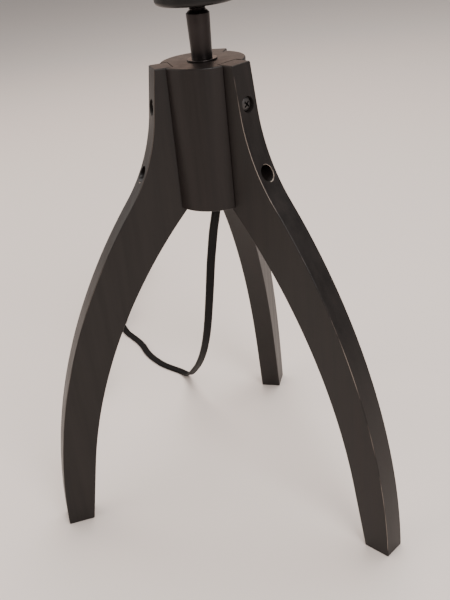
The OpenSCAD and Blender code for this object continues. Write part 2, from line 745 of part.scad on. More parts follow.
// Skirt with the thread for the shade ring; its flange stands on the cap's rim.
module holder_skirt() {
    lead_in = 1;              // chamfer at the top of the thread
    color(black) difference() {
        union() {
            translate([0, 0, cap_rim]) cylinder(d = cap_d, h = skirt_flange);
            translate([0, 0, skirt_seat]) cylinder(d = skirt_d, h = skirt_h - lead_in);
            translate([0, 0, skirt_top - lead_in])
                cylinder(d1 = skirt_d, d2 = skirt_d - 2 * lead_in, h = lead_in);
        }
        translate([0, 0, cap_rim - over]) cylinder(d = skirt_bore, h = skirt_h + skirt_flange + 2 * over);
    }
}

// Shade ring: a flange and a collar with finger ribs, on the skirt's thread.
module shade_ring() {
    ribs = 24;
    rib_w = 1.8;
    rib_out = 1.2;
    flange_t = 2.4;
    collar_r = skirt_d / 2 + 4;
    color(black) translate([0, 0, skirt_seat + ring_gap]) difference() {
        union() {
            cylinder(d = ring_d, h = flange_t);
            cylinder(r = collar_r, h = ring_h);
            for (i = [0:ribs - 1]) rotate([0, 0, 360 * i / ribs])
                translate([collar_r - rib_out / 2, -rib_w / 2, 0])
                    cube([rib_out * 1.5, rib_w, ring_h - rib_w / 2]);
        }
        translate([0, 0, -over]) cylinder(d = skirt_d + 2 * ring_clear, h = ring_h + 2 * over);
    }
}

// ---------------------------------------------------------------- switch knob

module switch_shaft() {
    color(brass) along_knob(shaft_in) cylinder(d = shaft_d, h = knob_r + knob_l / 2 - shaft_in, $fn = 48);
}

// Turn knob: a round collar and a flat wing with rounded ends.
module switch_knob() {
    collar_l = 4;
    color(black) along_knob(knob_r) difference() {
        union() {
            cylinder(d = knob_collar_d, h = collar_l, $fn = 64);
            intersection() {
                translate([0, 0, collar_l - 1]) cylinder(d = knob_w, h = knob_l - collar_l + 1, $fn = 64);
                rotate([90, 0, 0]) translate([0, 0, -knob_t / 2]) linear_extrude(knob_t)
                    knob_outline(collar_l);
            }
        }
        translate([0, 0, -over]) cylinder(d = shaft_d + 2 * touch, h = knob_l / 2 + over + touch, $fn = 48);
    }
}

// The wing seen from its broad side: y runs along the knob's axis.
module knob_outline(collar_l) {
    r = knob_w / 2;
    difference() {
        union() {
            translate([-r, collar_l + 3]) square([2 * r, knob_l - collar_l - 3 - r / 2]);
            translate([0, knob_l - r]) circle(r, $fn = 64);
            polygon([[-knob_collar_d / 2, collar_l - 1], [knob_collar_d / 2, collar_l - 1],
                     [r, collar_l + 3], [-r, collar_l + 3]]);
        }
        translate([-2 * r, knob_l]) square([4 * r, 2 * r]);
    }
}

// ---------------------------------------------------------------- lead and plug

module supply_cord() { color(black) sweep(smooth_route(supply_route, 2), two_core_section); }
module cord_hank() { color(black) sweep(hank_route, plain_section); }
module cord_tail() { color(black) sweep(smooth_route(tail_route, 2), two_core_section); }

// Strap round the waist of the hank, where its runs are drawn together.
module cord_tie() {
    slack = 0.2;              // room left round the runs
    half_w = fold_r + fold_drift - waist_in + cord_w / 2 + slack;
    low = tie_t + touch;
    high = tie_lift + cord_t + loop_rise * (runs / 2 - run_stops[3]) + slack;
    color(black) translate([hank_at[0], hank_at[1], 0]) rotate([0, 0, hank_turn])
        rotate([90, 0, 0]) translate([0, 0, -tie_w / 2]) linear_extrude(tie_w) difference() {
            tie_outline(half_w + tie_t, low - tie_t, high + tie_t);
            tie_outline(half_w, low, high);
        }
}

// A box with rounded corners, from -w to w and from low to high.
module tie_outline(w, low, high) {
    r = 1.4;
    hull() for (x = [r - w, w - r], y = [low + r, high - r]) translate([x, y]) circle(r, $fn = 32);
}

// Places its children on the plug's axis: +X runs from the strain relief's tip to the blades.
module at_plug() { translate(plug_at) rotate([0, 0, plug_turn]) children(); }

// An upright oval of width w and height h, at x along the plug.
module plug_slice(x, w, h) {
    translate([x, 0, 0]) rotate([0, 90, 0]) linear_extrude(0.1) {
        r = min(w, h) * 0.42;
        hull() for (a = [-1, 1], b = [-1, 1])
            translate([a * (h / 2 - r), b * (w / 2 - r)]) circle(r, $fn = 24);
    }
}

// Moulded strain relief: a taper with four flexing ribs.
module plug_relief() {
    tip = [cord_w + 1.6, cord_t + 2.6];
    root = [plug_w * 0.5, plug_h * 0.62];
    ribs = 4;
    color(black) at_plug() {
        hull() {
            plug_slice(0, tip[0], tip[1]);
            plug_slice(relief_l - 0.1, root[0] * 0.86, root[1] * 0.86);
        }
        for (i = [1:ribs]) {
            f = i / (ribs + 0.5);
            size = tip + (root - tip) * f;
            hull() {
                plug_slice(relief_l * f - 1.2, size[0] + 0.6, size[1] + 0.6);
                plug_slice(relief_l * f + 1, size[0] + 1.2, size[1] + 1.2);
            }
        }
    }
}

// Plug body: widest behind its face, with a waist for the fingers.
module plug_body() {
    color(black) at_plug() difference() {
        union() {
            hull() {
                plug_slice(relief_l, plug_w * 0.6, plug_h * 0.86);
                plug_slice(relief_l + plug_l * 0.35, plug_w * 0.84, plug_h);
            }
            hull() {
                plug_slice(relief_l + plug_l * 0.35, plug_w * 0.84, plug_h);
                plug_slice(relief_l + plug_l * 0.7, plug_w, plug_h);
                plug_slice(relief_l + plug_l - 1.4, plug_w, plug_h);
                plug_slice(relief_l + plug_l - 0.1, plug_w - 2.4, plug_h - 2.4);
            }
        }
        for (side = [-1, 1]) blade_box(side, blade_root, touch);
    }
}

// One blade's box, with how far it reaches back into the body and a clearance round it.
module blade_box(side, root, clear) {
    w = side < 0 ? blade_w : wide_blade_w;
    translate([relief_l + plug_l - root - clear, side * blade_pitch / 2 - blade_t / 2 - clear, -w / 2 - clear])
        cube([root + blade_l + clear, blade_t + 2 * clear, w + 2 * clear]);
}

module plug_blades() {
    hole_d = 3.2;
    corner = 2.4;
    tip = relief_l + plug_l + blade_l;
    color(blade_brass) at_plug() for (side = [-1, 1]) difference() {
        blade_box(side, blade_root, 0);
        translate([tip - 1.5 * hole_d, 0, 0]) rotate([90, 0, 0])
            cylinder(d = hole_d, h = 2 * plug_w, center = true, $fn = 32);
        for (edge = [-1, 1]) translate([tip, 0, edge * wide_blade_w / 2])
            rotate([0, 45, 0]) cube([corner, 2 * plug_w, corner], center = true);
    }
}

// ---------------------------------------------------------------- nodes

hub();
leg(leg_dirs[0]);  // leg_back
leg(leg_dirs[1]);  // leg_left
leg(leg_dirs[2]);  // leg_right
upper_screws();
lower_screws();
stem_washer();
stem_sleeve();
threaded_tube();
lock_washer();
hub_nut();
cord_bushing();
inner_lead();
holder_cap();
cap_nut();
holder_insert();
terminal_screws();
core_wires();
thread_shell();
centre_contact();
side_contact();
holder_skirt();
shade_ring();
switch_shaft();
switch_knob();
supply_cord();
cord_hank();
cord_tie();
cord_tail();
plug_relief();
plug_body();
plug_blades();
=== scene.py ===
# %% [markdown]
# # A tripod table lamp without its shade
# The construction of this lamp comes as a finished frame: each piece at its real size, the
# hub, the three plate legs, the stem and the lampholder, and the bodies that turn. This
# lesson gives it its looks. Pieces whose flat chamfers and facets are already right keep
# their frame mesh and only get a finish. Pieces that need rounded edges, threads or ribs are
# modelled again, at the same size and in the same place.

# %% Load the frame
import math

import bmesh
import bpy
from mathutils import Matrix, Vector


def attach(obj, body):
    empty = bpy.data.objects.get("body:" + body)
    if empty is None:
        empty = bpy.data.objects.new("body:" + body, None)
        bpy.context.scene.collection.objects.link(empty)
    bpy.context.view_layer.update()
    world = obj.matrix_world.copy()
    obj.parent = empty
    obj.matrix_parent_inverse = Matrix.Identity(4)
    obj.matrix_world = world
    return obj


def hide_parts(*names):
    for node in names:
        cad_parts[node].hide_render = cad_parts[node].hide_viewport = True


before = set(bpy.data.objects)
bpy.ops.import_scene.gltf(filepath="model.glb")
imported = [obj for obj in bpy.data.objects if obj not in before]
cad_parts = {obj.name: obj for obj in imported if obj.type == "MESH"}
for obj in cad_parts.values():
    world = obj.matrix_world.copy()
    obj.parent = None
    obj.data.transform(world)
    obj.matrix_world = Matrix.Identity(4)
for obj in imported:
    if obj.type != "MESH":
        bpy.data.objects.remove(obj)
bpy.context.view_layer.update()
MM = 0.001

# %% [markdown]
# ## Camera
# A camera can be placed by eye, or solved from the edges of things whose size is known. Here
# it was solved: it looks down at the lamp from the front right, and leans a little to one
# side. The lean is a turn about the line of sight, so it comes after the aim.

# %% Camera
view_target = Vector((-0.00102, -0.00029, 0.14726))
view_azimuth = math.radians(15.86)
view_elevation = math.radians(27.53)
view_lean = math.radians(-5.82)
view_distance = 0.55512
view_lens = 49.08

back = Vector((
    math.sin(view_azimuth) * math.cos(view_elevation),
    -math.cos(view_azimuth) * math.cos(view_elevation),
    math.sin(view_elevation),
))
camera = bpy.data.objects.new("camera", bpy.data.cameras.new("camera"))
bpy.context.scene.collection.objects.link(camera)
camera.data.lens = view_lens
aim = (-back).to_track_quat("-Z", "Y").to_matrix().to_4x4()
camera.matrix_world = (
    Matrix.Translation(view_target + back * view_distance) @ aim
    @ Matrix.Rotation(view_lean, 4, "Z")
)
bpy.context.scene.camera = camera
print("camera at", [round(c, 4) for c in camera.matrix_world.translation])

# %% [markdown]
# ## The lead's route
# The lead is a flat two-core one, 6.2 mm wide and 1.78 m long. It leaves the hub straight
# down, leans back under its own weight, lies on the floor and ends in a hank behind the left
# leg. A simulation could drop it there, but a route of chosen points is the same each time
# and stays where the construction has it. The points are those of the frame, in metres, and
# one smooth curve runs through them all.

# %% Lead: the free stretches
lead_w = 0.0062
lead_t = 0.0028
straight_end = 0.007

drop_route = [
    (0, 0, 0.2279), (0, 0, 0.2219), (-0.0007, 0.0007, 0.215), (-0.0028, 0.003, 0.2065),
    (-0.0064, 0.008, 0.195), (-0.0103, 0.0145, 0.181), (-0.0147, 0.0214, 0.164),
    (-0.0193, 0.0293, 0.144), (-0.0245, 0.0379, 0.122), (-0.03, 0.0469, 0.1),
    (-0.0361, 0.0569, 0.08), (-0.0437, 0.0689, 0.06), (-0.0528, 0.0828, 0.041),
    (-0.0622, 0.0978, 0.025), (-0.0706, 0.1113, 0.0118), (-0.0773, 0.1206, 0.0042),
]
floor_route = [
    (-0.0848, 0.1278), (-0.0948, 0.1327), (-0.1046, 0.1375), (-0.1133, 0.1436),
    (-0.1212, 0.1504), (-0.129, 0.1588), (-0.1365, 0.1694), (-0.1445, 0.1783),
    (-0.153, 0.186), (-0.161, 0.1932), (-0.167, 0.201),
]
print("chosen points: drop", len(drop_route), "floor", len(floor_route))

# %% [markdown]
# ## The hank
# A tied hank is a stack of long loops. Each loop runs away on the right, folds round, comes
# back on the left while it climbs by one thickness, and folds again. The loops drift in and
# out a little, and a strap draws them together at the waist. Points set by hand would do,
# but with a formula the crossings stay clear of each other by construction. In it, k counts
# the runs and f goes from 0 to 1 along one run or fold.

# %% Lead: the hank
hank_at = Vector((-0.203, 0.2712, 0))
hank_turn = math.radians(10)
runs = 8
run_l = 0.106
run_stops = (0, 0.14, 0.28, 0.42, 0.58, 0.72, 0.86)
fold_steps = 8
fold_r = 0.0185
fold_drift = 0.001
loop_rise = 0.0033
waist_in = 0.01
tie_t = 0.001
tie_gap = 0.00015
tie_lift = tie_t + tie_gap


def in_hank(x, y, z):
    return hank_at + Matrix.Rotation(hank_turn, 3, "Z") @ Vector((x, y, z))


def waist(f):
    """How far a run is drawn in: 0 at its ends, 1 at the strap."""
    t = min(1, min(f, 1 - f) / run_stops[3])
    return t * t * (3 - 2 * t)


def loop_r(u):
    return fold_r + fold_drift * abs(u % 2 - 1)


def loop_z(k, f):
    return lead_t / 2 + loop_rise * (k // 2 + (f if k % 2 else 0))


def run_point(k, f, beyond=0.0):
    side = -1 if k % 2 else 1
    x = side * (loop_r((k + f) / 2) - waist_in * waist(f))
    return in_hank(x, side * (f - 0.5) * run_l - beyond, loop_z(k, f) + tie_lift * waist(f))


def fold_point(k, f):
    end = -1 if k % 2 else 1
    r = loop_r((k + 1) / 2)
    angle = math.pi * f
    return in_hank(end * r * math.cos(angle), end * (run_l / 2 + r * math.sin(angle)), loop_z(k, 1))


hank_route = [run_point(0, 0, straight_end)]
for k in range(runs):
    hank_route += [run_point(k, f) for f in run_stops]
    if k < runs - 1:
        hank_route += [fold_point(k, i / fold_steps) for i in range(fold_steps)]
hank_route += [run_point(runs - 1, 1), run_point(runs - 1, 1, straight_end)]
hank_along = in_hank(0, 1, 0) - in_hank(0, 0, 0)
print("hank points", len(hank_route), "top at", round(max(p.z for p in hank_route) / MM, 1), "mm")

# %% [markdown]
# ## The tail and the whole route
# From the top of the hank the lead comes down again and ends in the plug. The stretches are
# strung together, with a short straight bit at each end of the hank and before the plug.
# Straight lines from point to point would leave kinks, so each piece of the curve is worked
# out from the four points round it, which makes it pass through every one of them.

# %% Lead: the tail and the whole route
plug_at = Vector((-0.18, 0.144, 0.007))
plug_turn = math.radians(-74)
plug_along = Vector((math.cos(plug_turn), math.sin(plug_turn), 0))
tail_route = [
    (-0.2046, 0.1922, 0.0144), (-0.2002, 0.1826, 0.0128), (-0.1948, 0.1726, 0.0104),
    (-0.1883, 0.1615, 0.0082),
]
curve_steps = 3
lead_points = (
    [Vector(p) for p in drop_route]
    + [Vector((x, y, lead_t / 2)) for x, y in floor_route]
    + [hank_route[0] - straight_end * hank_along]
    + hank_route
    + [hank_route[-1] - straight_end * hank_along]
    + [Vector(p) for p in tail_route]
    + [plug_at - straight_end * plug_along, plug_at]
)


def smooth_route(points, steps):
    """A curve through all points, in so many steps between each two, never below the floor."""
    p = [2 * points[0] - points[1], *points, 2 * points[-1] - points[-2]]
    route = []
    for a, b, c, d in zip(p, p[1:], p[2:], p[3:]):
        for i in range(steps):
            t = i / steps
            q = 0.5 * (
                2 * b + (c - a) * t + (2 * a - 5 * b + 4 * c - d) * t * t
                + (3 * b - a - 3 * c + d) * t * t * t
            )
            route.append(Vector((q.x, q.y, max(q.z, lead_t / 2))))
    return [*route, points[-1]]


lead_route = smooth_route(lead_points, curve_steps)
lead_length = sum((q - p).length for p, q in zip(lead_route, lead_route[1:]))
print("lead", round(lead_length, 3), "m along", len(lead_route), "points")

# %% [markdown]
# ## Helpers for pieces
# A ring of edges can be drawn out along a path: extrude it, move the new ring onto the next
# frame, and repeat. The same helper makes the lead, its plug and its strain relief. Another
# helper turns a finished bmesh into a piece: it merges doubles, points the faces outwards,
# shades them smooth up to a given angle and hangs the piece on its body of the frame.

# %% Helpers for pieces
same_spot = 0.001


def draw_out(bm, ring, frames):
    """Extrudes the closed ring of edges, which lies in frames[0], through the other frames."""
    edges = list(ring)
    for old, new in zip(frames, frames[1:]):
        made = bmesh.ops.extrude_edge_only(bm, edges=edges)["geom"]
        verts = [g for g in made if isinstance(g, bmesh.types.BMVert)]
        kept = set(verts)
        edges = [g for g in made if isinstance(g, bmesh.types.BMEdge) and set(g.verts) <= kept]
        bmesh.ops.transform(bm, matrix=new @ old.inverted(), verts=verts)
    return edges


def closed_ring(bm, outline, place):
    """A closed ring of edges through flat points, in the frame that place gives."""
    verts = [bm.verts.new(place @ Vector((x, y, 0))) for x, y in outline]
    return [bm.edges.new((a, b)) for a, b in zip(verts, verts[1:] + verts[:1])]


def drawn_solid(outline, frames):
    """Draws a flat outline through the frames and closes both ends."""
    bm = bmesh.new()
    first = closed_ring(bm, outline, frames[0])
    last = draw_out(bm, first, frames)
    bmesh.ops.contextual_create(bm, geom=first)
    bmesh.ops.contextual_create(bm, geom=last)
    return bm


def make_piece(name, bm, body, material, replaces, sharp=32):
    """Turns a bmesh in metres into a finished piece that rides on a body."""
    bmesh.ops.remove_doubles(bm, verts=bm.verts, dist=same_spot * MM)
    bmesh.ops.recalc_face_normals(bm, faces=bm.faces)
    for face in bm.faces:
        face.smooth = True
    mesh = bpy.data.meshes.new(name)
    bm.to_mesh(mesh)
    bm.free()
    mesh.set_sharp_from_angle(angle=math.radians(sharp))
    piece = bpy.data.objects.new(name, mesh)
    bpy.context.scene.collection.objects.link(piece)
    mesh.materials.append(material)
    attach(piece, body)
    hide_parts(*replaces)
    print(name, len(mesh.polygons), "faces")
    return piece


print("points nearer than", same_spot, "mm count as one")

# %% [markdown]
# ## Helpers for finishes
# Every finish here is one Principled shader with a few texture nodes in front of it. Two
# small helpers keep that short: one starts a material, the other adds a node, sets its
# values and links its inputs in one line. All patterns sit in the object's own coordinates,
# so they stay on a piece that turns.

# %% Helpers for finishes


def new_material(name, colour, roughness, metallic=0.0, **sockets):
    """Starts a material. Further sockets are given by name, as coat_weight=0.2."""
    material = bpy.data.materials.new(name)
    material.use_nodes = True
    shader = material.node_tree.nodes["Principled BSDF"]
    shader.inputs["Base Color"].default_value = (*colour, 1)
    shader.inputs["Roughness"].default_value = roughness
    shader.inputs["Metallic"].default_value = metallic
    for key, value in sockets.items():
        shader.inputs[key.replace("_", " ").title().replace("Ior", "IOR")].default_value = value
    return material, shader


def add(material, kind, inputs=None, **settings):
    """Adds a node. An input is a number, a colour or another node's output."""
    node = material.node_tree.nodes.new("ShaderNode" + kind)
    for key, value in settings.items():
        setattr(node, key, value)
    for key, value in (inputs or {}).items():
        socket = node.inputs[key]
        if isinstance(value, bpy.types.NodeSocket):
            material.node_tree.links.new(value, socket)
        else:
            socket.default_value = value
    return node


def wire(material, output, shader, socket):
    material.node_tree.links.new(output, shader.inputs[socket])


def ramp(material, fac, stops):
    """A colour ramp with (position, grey or colour) stops."""
    node = add(material, "ValToRGB", {"Fac": fac})
    elements = node.color_ramp.elements
    while len(elements) < len(stops):
        elements.new(0.5)
    for element, (position, value) in zip(elements, stops):
        element.position = position
        colour = value if isinstance(value, tuple) else (value, value, value)
        element.color = (*colour, 1)
    return node.outputs["Color"]


def noise(material, scale, detail, turn=0.0, **inputs):
    """Noise in the object's coordinates, scaled along x, y and z and turned about z."""
    coordinates = add(material, "TexCoord").outputs["Object"]
    mapping = add(material, "Mapping", {"Vector": coordinates}, vector_type="POINT")
    mapping.inputs["Rotation"].default_value = (0, 0, turn)
    mapping.inputs["Scale"].default_value = scale
    values = {"Vector": mapping.outputs["Vector"], "Scale": 1.0, "Detail": detail, **inputs}
    return add(material, "TexNoise", values).outputs["Fac"]


print("materials in the frame", len(bpy.data.materials))

# %% [markdown]
# ## Black stained wood
# The hub and legs are hardwood, stained black-brown under a satin lacquer. Close up, two
# things show through the black: streaks of grain along the wood, and fine open pores. A
# picture of wood could give both, but noise stretched along the piece has no seams and needs
# no file. A third thing is a paler line on the outer edges. It is partly wear, where handling
# rubs the lacquer off in stretches, and partly a painted highlight. So the rounded faces of
# those edges get the same wood with patches of bare, paler wood mixed in, most on the right
# leg, which faces the key light, and the rims of the lower holes finer ones.

# %% Black stained wood
grain_scale = (150, 150, 7)
pore_scale = (1500, 1500, 55)
pore_depth = 0.12 * MM
bare_wood_and_highlight = (0.27, 0.22, 0.185, 1)
hub_tones = ((0.0068, 0.0047, 0.0042), (0.0145, 0.0105, 0.0094))
leg_tones = ((0.0062, 0.0047, 0.0043), (0.0145, 0.011, 0.0098))
leg_turns = {"leg_back": 90, "leg_left": 210, "leg_right": 330}
# Share of pale wood on each leg's outer edges: wear on all three, and on the right leg, which faces
# the key light, a painted highlight as well.
leg_wear_and_highlight = {"leg_back": 0.25, "leg_left": 0.25, "leg_right": 0.75}


def stained_wood(name, turn, dark, light, wear_and_highlight=0.0, reach=0.44, patch=22):
    """Wood between two tones, with pale bare wood mixed into patches above the reach for wear and a
    painted highlight.
    """
    material, shader = new_material(name, dark, 0.46, coat_weight=0.14, coat_roughness=0.27,
                                    specular_ior_level=0.23)
    grain = noise(material, grain_scale, 6.0, turn, Roughness=0.62)
    pores = noise(material, pore_scale, 2.0, turn)
    colour = ramp(material, grain, [(0.3, dark), (0.72, light)])
    if wear_and_highlight:
        # Pale bare wood in patches: partly wear, partly a painted highlight.
        patches = noise(material, (patch, patch, patch), 7.0)
        wear_and_highlight_patches = ramp(material, patches, [(reach, 0.0), (reach + 0.14, wear_and_highlight)])
        mixed = add(material, "Mix", {"Factor": wear_and_highlight_patches, "A": colour, "B": bare_wood_and_highlight},
                    data_type="RGBA")
        colour = mixed.outputs[2]
    wire(material, colour, shader, "Base Color")
    wire(material, ramp(material, grain, [(0.3, 0.4), (0.75, 0.56)]), shader, "Roughness")

    open_pores = ramp(material, pores, [(0.4, 0.0), (0.56, 1.0)])
    height = add(material, "Math", {0: open_pores, 1: grain}, operation="MULTIPLY")
    bump = add(material, "Bump", {"Height": height.outputs["Value"], "Strength": 0.16,
                                  "Distance": pore_depth})
    wire(material, bump.outputs["Normal"], shader, "Normal")
    return material


hub_wood = stained_wood("stained_wood_hub", 0, *hub_tones)
leg_woods = {}
for name, degrees in leg_turns.items():
    turn = -math.radians(degrees)
    # Each leg gets plain wood and two pale-patched woods for its edges and hole rims: wear with a
    # painted highlight.
    leg_woods[name] = [
        stained_wood("stained_wood_" + name, turn, *leg_tones),
        stained_wood("edge_wear_and_highlight_" + name, turn, *leg_tones, wear_and_highlight=leg_wear_and_highlight[name]),
        stained_wood("rim_wear_and_highlight_" + name, turn, *leg_tones, wear_and_highlight=0.9, reach=0.34, patch=260),
    ]
print("wood finishes", 1 + sum(len(woods) for woods in leg_woods.values()))

# %% [markdown]
# ## Metals and plastics
# The stem is steel under a black nickel plate, the leg screws are blackened steel, the nuts
# are zinc plated and the contacts are bare brass. The holder and the knob are moulded
# thermoset with a low gloss, the lead is soft vinyl. One colour and one gloss would look
# like paint. Real plated and moulded surfaces are never quite even, so a little noise moves
# their tone and roughness, and a finer one gives the bump its grain.

# %% Metals and plastics
cloud_scale = (90, 90, 90)
grain_depth = 0.1 * MM


def uneven(name, colour, roughness, spread, metallic=0.0, grain=900, bump=0.05, tint=1.35,
           **sockets):
    """A finish with cloudy roughness, a slight change of tone and a fine grain."""
    material, shader = new_material(name, colour, roughness, metallic, **sockets)
    clouds = noise(material, cloud_scale, 4.0)
    fine = noise(material, (grain, grain, grain), 3.0)
    light = tuple(min(1, c * tint) for c in colour)
    wire(material, ramp(material, clouds, [(0.35, colour), (0.7, light)]), shader, "Base Color")
    wire(material, ramp(material, clouds, [(0.3, roughness - spread), (0.7, roughness + spread)]),
         shader, "Roughness")
    node = add(material, "Bump", {"Height": fine, "Strength": bump, "Distance": grain_depth})
    wire(material, node.outputs["Normal"], shader, "Normal")
    return material


black_nickel = uneven("black_nickel", (0.027, 0.0225, 0.022), 0.33, 0.07, metallic=0.85, grain=500)
black_oxide = uneven("black_oxide", (0.05, 0.046, 0.045), 0.42, 0.08, metallic=0.5, grain=900)
# A near black for the screws' cross recesses: painted shade, darker than the blackened steel.
painted_shade_black = uneven("painted_shade_black", (0.003, 0.003, 0.003), 0.75, 0.08, specular_ior_level=0.2)
zinc = uneven("zinc_plate", (0.42, 0.42, 0.43), 0.34, 0.08, metallic=1.0, grain=1200, bump=0.1)
bare_brass = uneven("bare_brass", (0.62, 0.43, 0.17), 0.3, 0.08, metallic=1.0, grain=800)
moulded_black = uneven("moulded_black", (0.0065, 0.0058, 0.0056), 0.36, 0.05, grain=1500,
                       bump=0.06, specular_ior_level=0.26)
glazed_white = uneven("glazed_white", (0.62, 0.58, 0.5), 0.28, 0.06, coat_weight=0.4, tint=1.12)
soft_vinyl = uneven("soft_vinyl", (0.0045, 0.0042, 0.0042), 0.56, 0.05, grain=1100, bump=0.08,
                    specular_ior_level=0.09)
brown_vinyl = uneven("brown_vinyl", (0.16, 0.05, 0.025), 0.42, 0.05)
woven_black = uneven("woven_black", (0.016, 0.016, 0.018), 0.85, 0.05, grain=2400, bump=0.6,
                     sheen_weight=0.25)
print("materials so far", len(bpy.data.materials))

# %% [markdown]
# ## More helpers, in millimetres
# The pieces below are drawn in millimetres and scaled to metres when they are done. A turned
# piece starts as an outline of radii and heights, spun round the axis. Sharp edges get a
# small rounding, which is what catches the light on a real edge. A hole is cut with a
# Boolean, because that keeps the two shapes simple.

# %% Helpers in millimetres
UPRIGHT = Matrix.Rotation(math.radians(90), 4, "X")
OUTWARD = Matrix.Rotation(math.radians(90), 4, "Y")
rows_a_turn = 10


def forward(distance):
    """A step along the z axis of a place."""
    return Matrix.Translation((0, 0, distance))


def round_axis(degrees):
    return Matrix.Rotation(math.radians(degrees), 4, "Z")


def verts_in(geometry):
    return [g for g in geometry if isinstance(g, bmesh.types.BMVert)]


def turned(outline, steps=96):
    """Spins an outline of (radius, height) points. One that ends on the axis becomes solid."""
    bm = bmesh.new()
    ring = closed_ring(bm, outline, UPRIGHT)
    if outline[0][0] == 0 == outline[-1][0]:
        bm.edges.remove(ring.pop())
    bmesh.ops.spin(bm, geom=bm.verts[:] + ring, cent=(0, 0, 0), axis=(0, 0, 1), angle=math.tau,
                   steps=steps, use_merge=True)
    return bm


def arc_points(centre, radius, start, end, steps):
    """Flat points along an arc, in degrees; radius may be a pair for an oval."""
    rx, ry = radius if isinstance(radius, tuple) else (radius, radius)
    angles = [math.radians(start + (end - start) * i / steps) for i in range(steps + 1)]
    return [(centre[0] + rx * math.cos(a), centre[1] + ry * math.sin(a)) for a in angles]


def rows(radius, low, high, pitch):
    """Points up a straight wall, close enough together to carry a thread."""
    count = math.ceil((high - low) / pitch * rows_a_turn)
    return [(radius, low + (high - low) * i / count) for i in range(count + 1)]


def soften(bm, offset, segments=3, angle=35):
    """Rounds each edge at which two faces meet more sharply than the angle."""
    bmesh.ops.remove_doubles(bm, verts=bm.verts, dist=same_spot)
    bmesh.ops.recalc_face_normals(bm, faces=bm.faces)
    sharp = [e for e in bm.edges if e.is_manifold and e.calc_face_angle() > math.radians(angle)]
    made = bmesh.ops.bevel(bm, geom=sharp, offset=offset, segments=segments, profile=0.5,
                           affect="EDGES", clamp_overlap=True, material=-1)
    return made["faces"]


def push_out(verts, distance):
    """Moves each vertex away from the axis by what distance(angle, height) says."""
    for v in verts:
        r = math.hypot(v.co.x, v.co.y)
        scale = 1 + distance(math.atan2(v.co.y, v.co.x), v.co.z) / r
        v.co.x *= scale
        v.co.y *= scale


def cut_thread(bm, foot, top, pitch, depth, reach):
    """Sinks a helical groove into the rows of a turned piece, fading out at both ends."""
    def sunk(angle, z):
        ease = min(1, (z - foot) / pitch, (top - z) / pitch)
        return -depth * ease * (0.5 - 0.5 * math.cos(math.tau * z / pitch - angle))

    push_out([v for v in bm.verts if foot < v.co.z < top
              and reach[0] <= math.hypot(v.co.x, v.co.y) <= reach[1]], sunk)


def block(size, place):
    bm = bmesh.new()
    bmesh.ops.create_cube(bm, size=1, matrix=place @ Matrix.Diagonal((*size, 1)))
    return bm


def rod(diameter, length, place, steps=48):
    """A cylinder that starts at the place and runs along its z axis."""
    bm = bmesh.new()
    bmesh.ops.create_cone(bm, cap_ends=True, segments=steps, radius1=diameter / 2,
                          radius2=diameter / 2, depth=length, matrix=place @ forward(length / 2))
    return bm


def combine(bm, other, operation="DIFFERENCE"):
    """Cuts the other bmesh from the first, or joins it on, and returns the result."""
    made = []
    for shape in (bm, other):
        bmesh.ops.remove_doubles(shape, verts=shape.verts, dist=same_spot)
        bmesh.ops.recalc_face_normals(shape, faces=shape.faces)
        mesh = bpy.data.meshes.new("shape")
        shape.to_mesh(mesh)
        shape.free()
        made.append(bpy.data.objects.new("shape", mesh))
        bpy.context.scene.collection.objects.link(made[-1])
    step = made[0].modifiers.new("step", "BOOLEAN")
    step.operation = operation
    step.solver = "EXACT"
    step.object = made[1]
    graph = bpy.context.evaluated_depsgraph_get()
    result = bmesh.new()
    result.from_mesh(made[0].evaluated_get(graph).data)
    for shape in made:
        mesh = shape.data
        bpy.data.objects.remove(shape)
        bpy.data.meshes.remove(mesh)
    return result


def repeat(bm, places):
    """Leaves one copy of what the bmesh holds at each of the places."""
    first = bm.verts[:] + bm.edges[:] + bm.faces[:]
    for place in places[1:]:
        made = bmesh.ops.duplicate(bm, geom=first)["geom"]
        bmesh.ops.transform(bm, matrix=place, verts=verts_in(made))
    bmesh.ops.transform(bm, matrix=places[0], verts=verts_in(first))
    return bm


def finish_piece(name, bm, body, material, replaces, sharp=32):
    """Scales a millimetre bmesh to metres and makes the piece, its big flat faces kept flat."""
    bmesh.ops.scale(bm, vec=(MM, MM, MM), verts=bm.verts)
    piece = make_piece(name, bm, body, material, replaces, sharp)
    piece.modifiers.new("flat_faces_stay_flat", "WEIGHTED_NORMAL").keep_sharp = True
    return piece


print("a thread gets", rows_a_turn, "rows of points a turn")

# %% [markdown]
# ## The legs: sizes and arcs
# Each leg is sawn from a 15.5 mm board. Its outline is a line, a hollow and a long bow outside,
# and one bow inside, each arc running into the next without a kink. A curve traced by eye
# would do for one picture. Here the centres are worked out from a few sizes instead, because
# arcs that touch stay smooth whatever the sizes are. The outline lies in the xz plane, x out
# from the lamp's axis and z up from the floor.

# %% Legs: sizes and arcs
hub_top, hub_bottom, slot_floor, leg_t = 307.5, 221.5, 19.5, 15.5
foot_reach, foot_w, foot_lean, foot_straight = 134, 18, math.radians(10.5), 46
bow_r, bow_drop, hollow_r = 393, 8, 113
top_reach, top_lean = 31, math.radians(7.2)


def in_plate(x, z):
    return Vector((x, 0, z))


def aimed(angle):
    return in_plate(math.cos(angle), math.sin(angle))


def toward(start, end):
    return math.atan2(end.z - start.z, end.x - start.x)


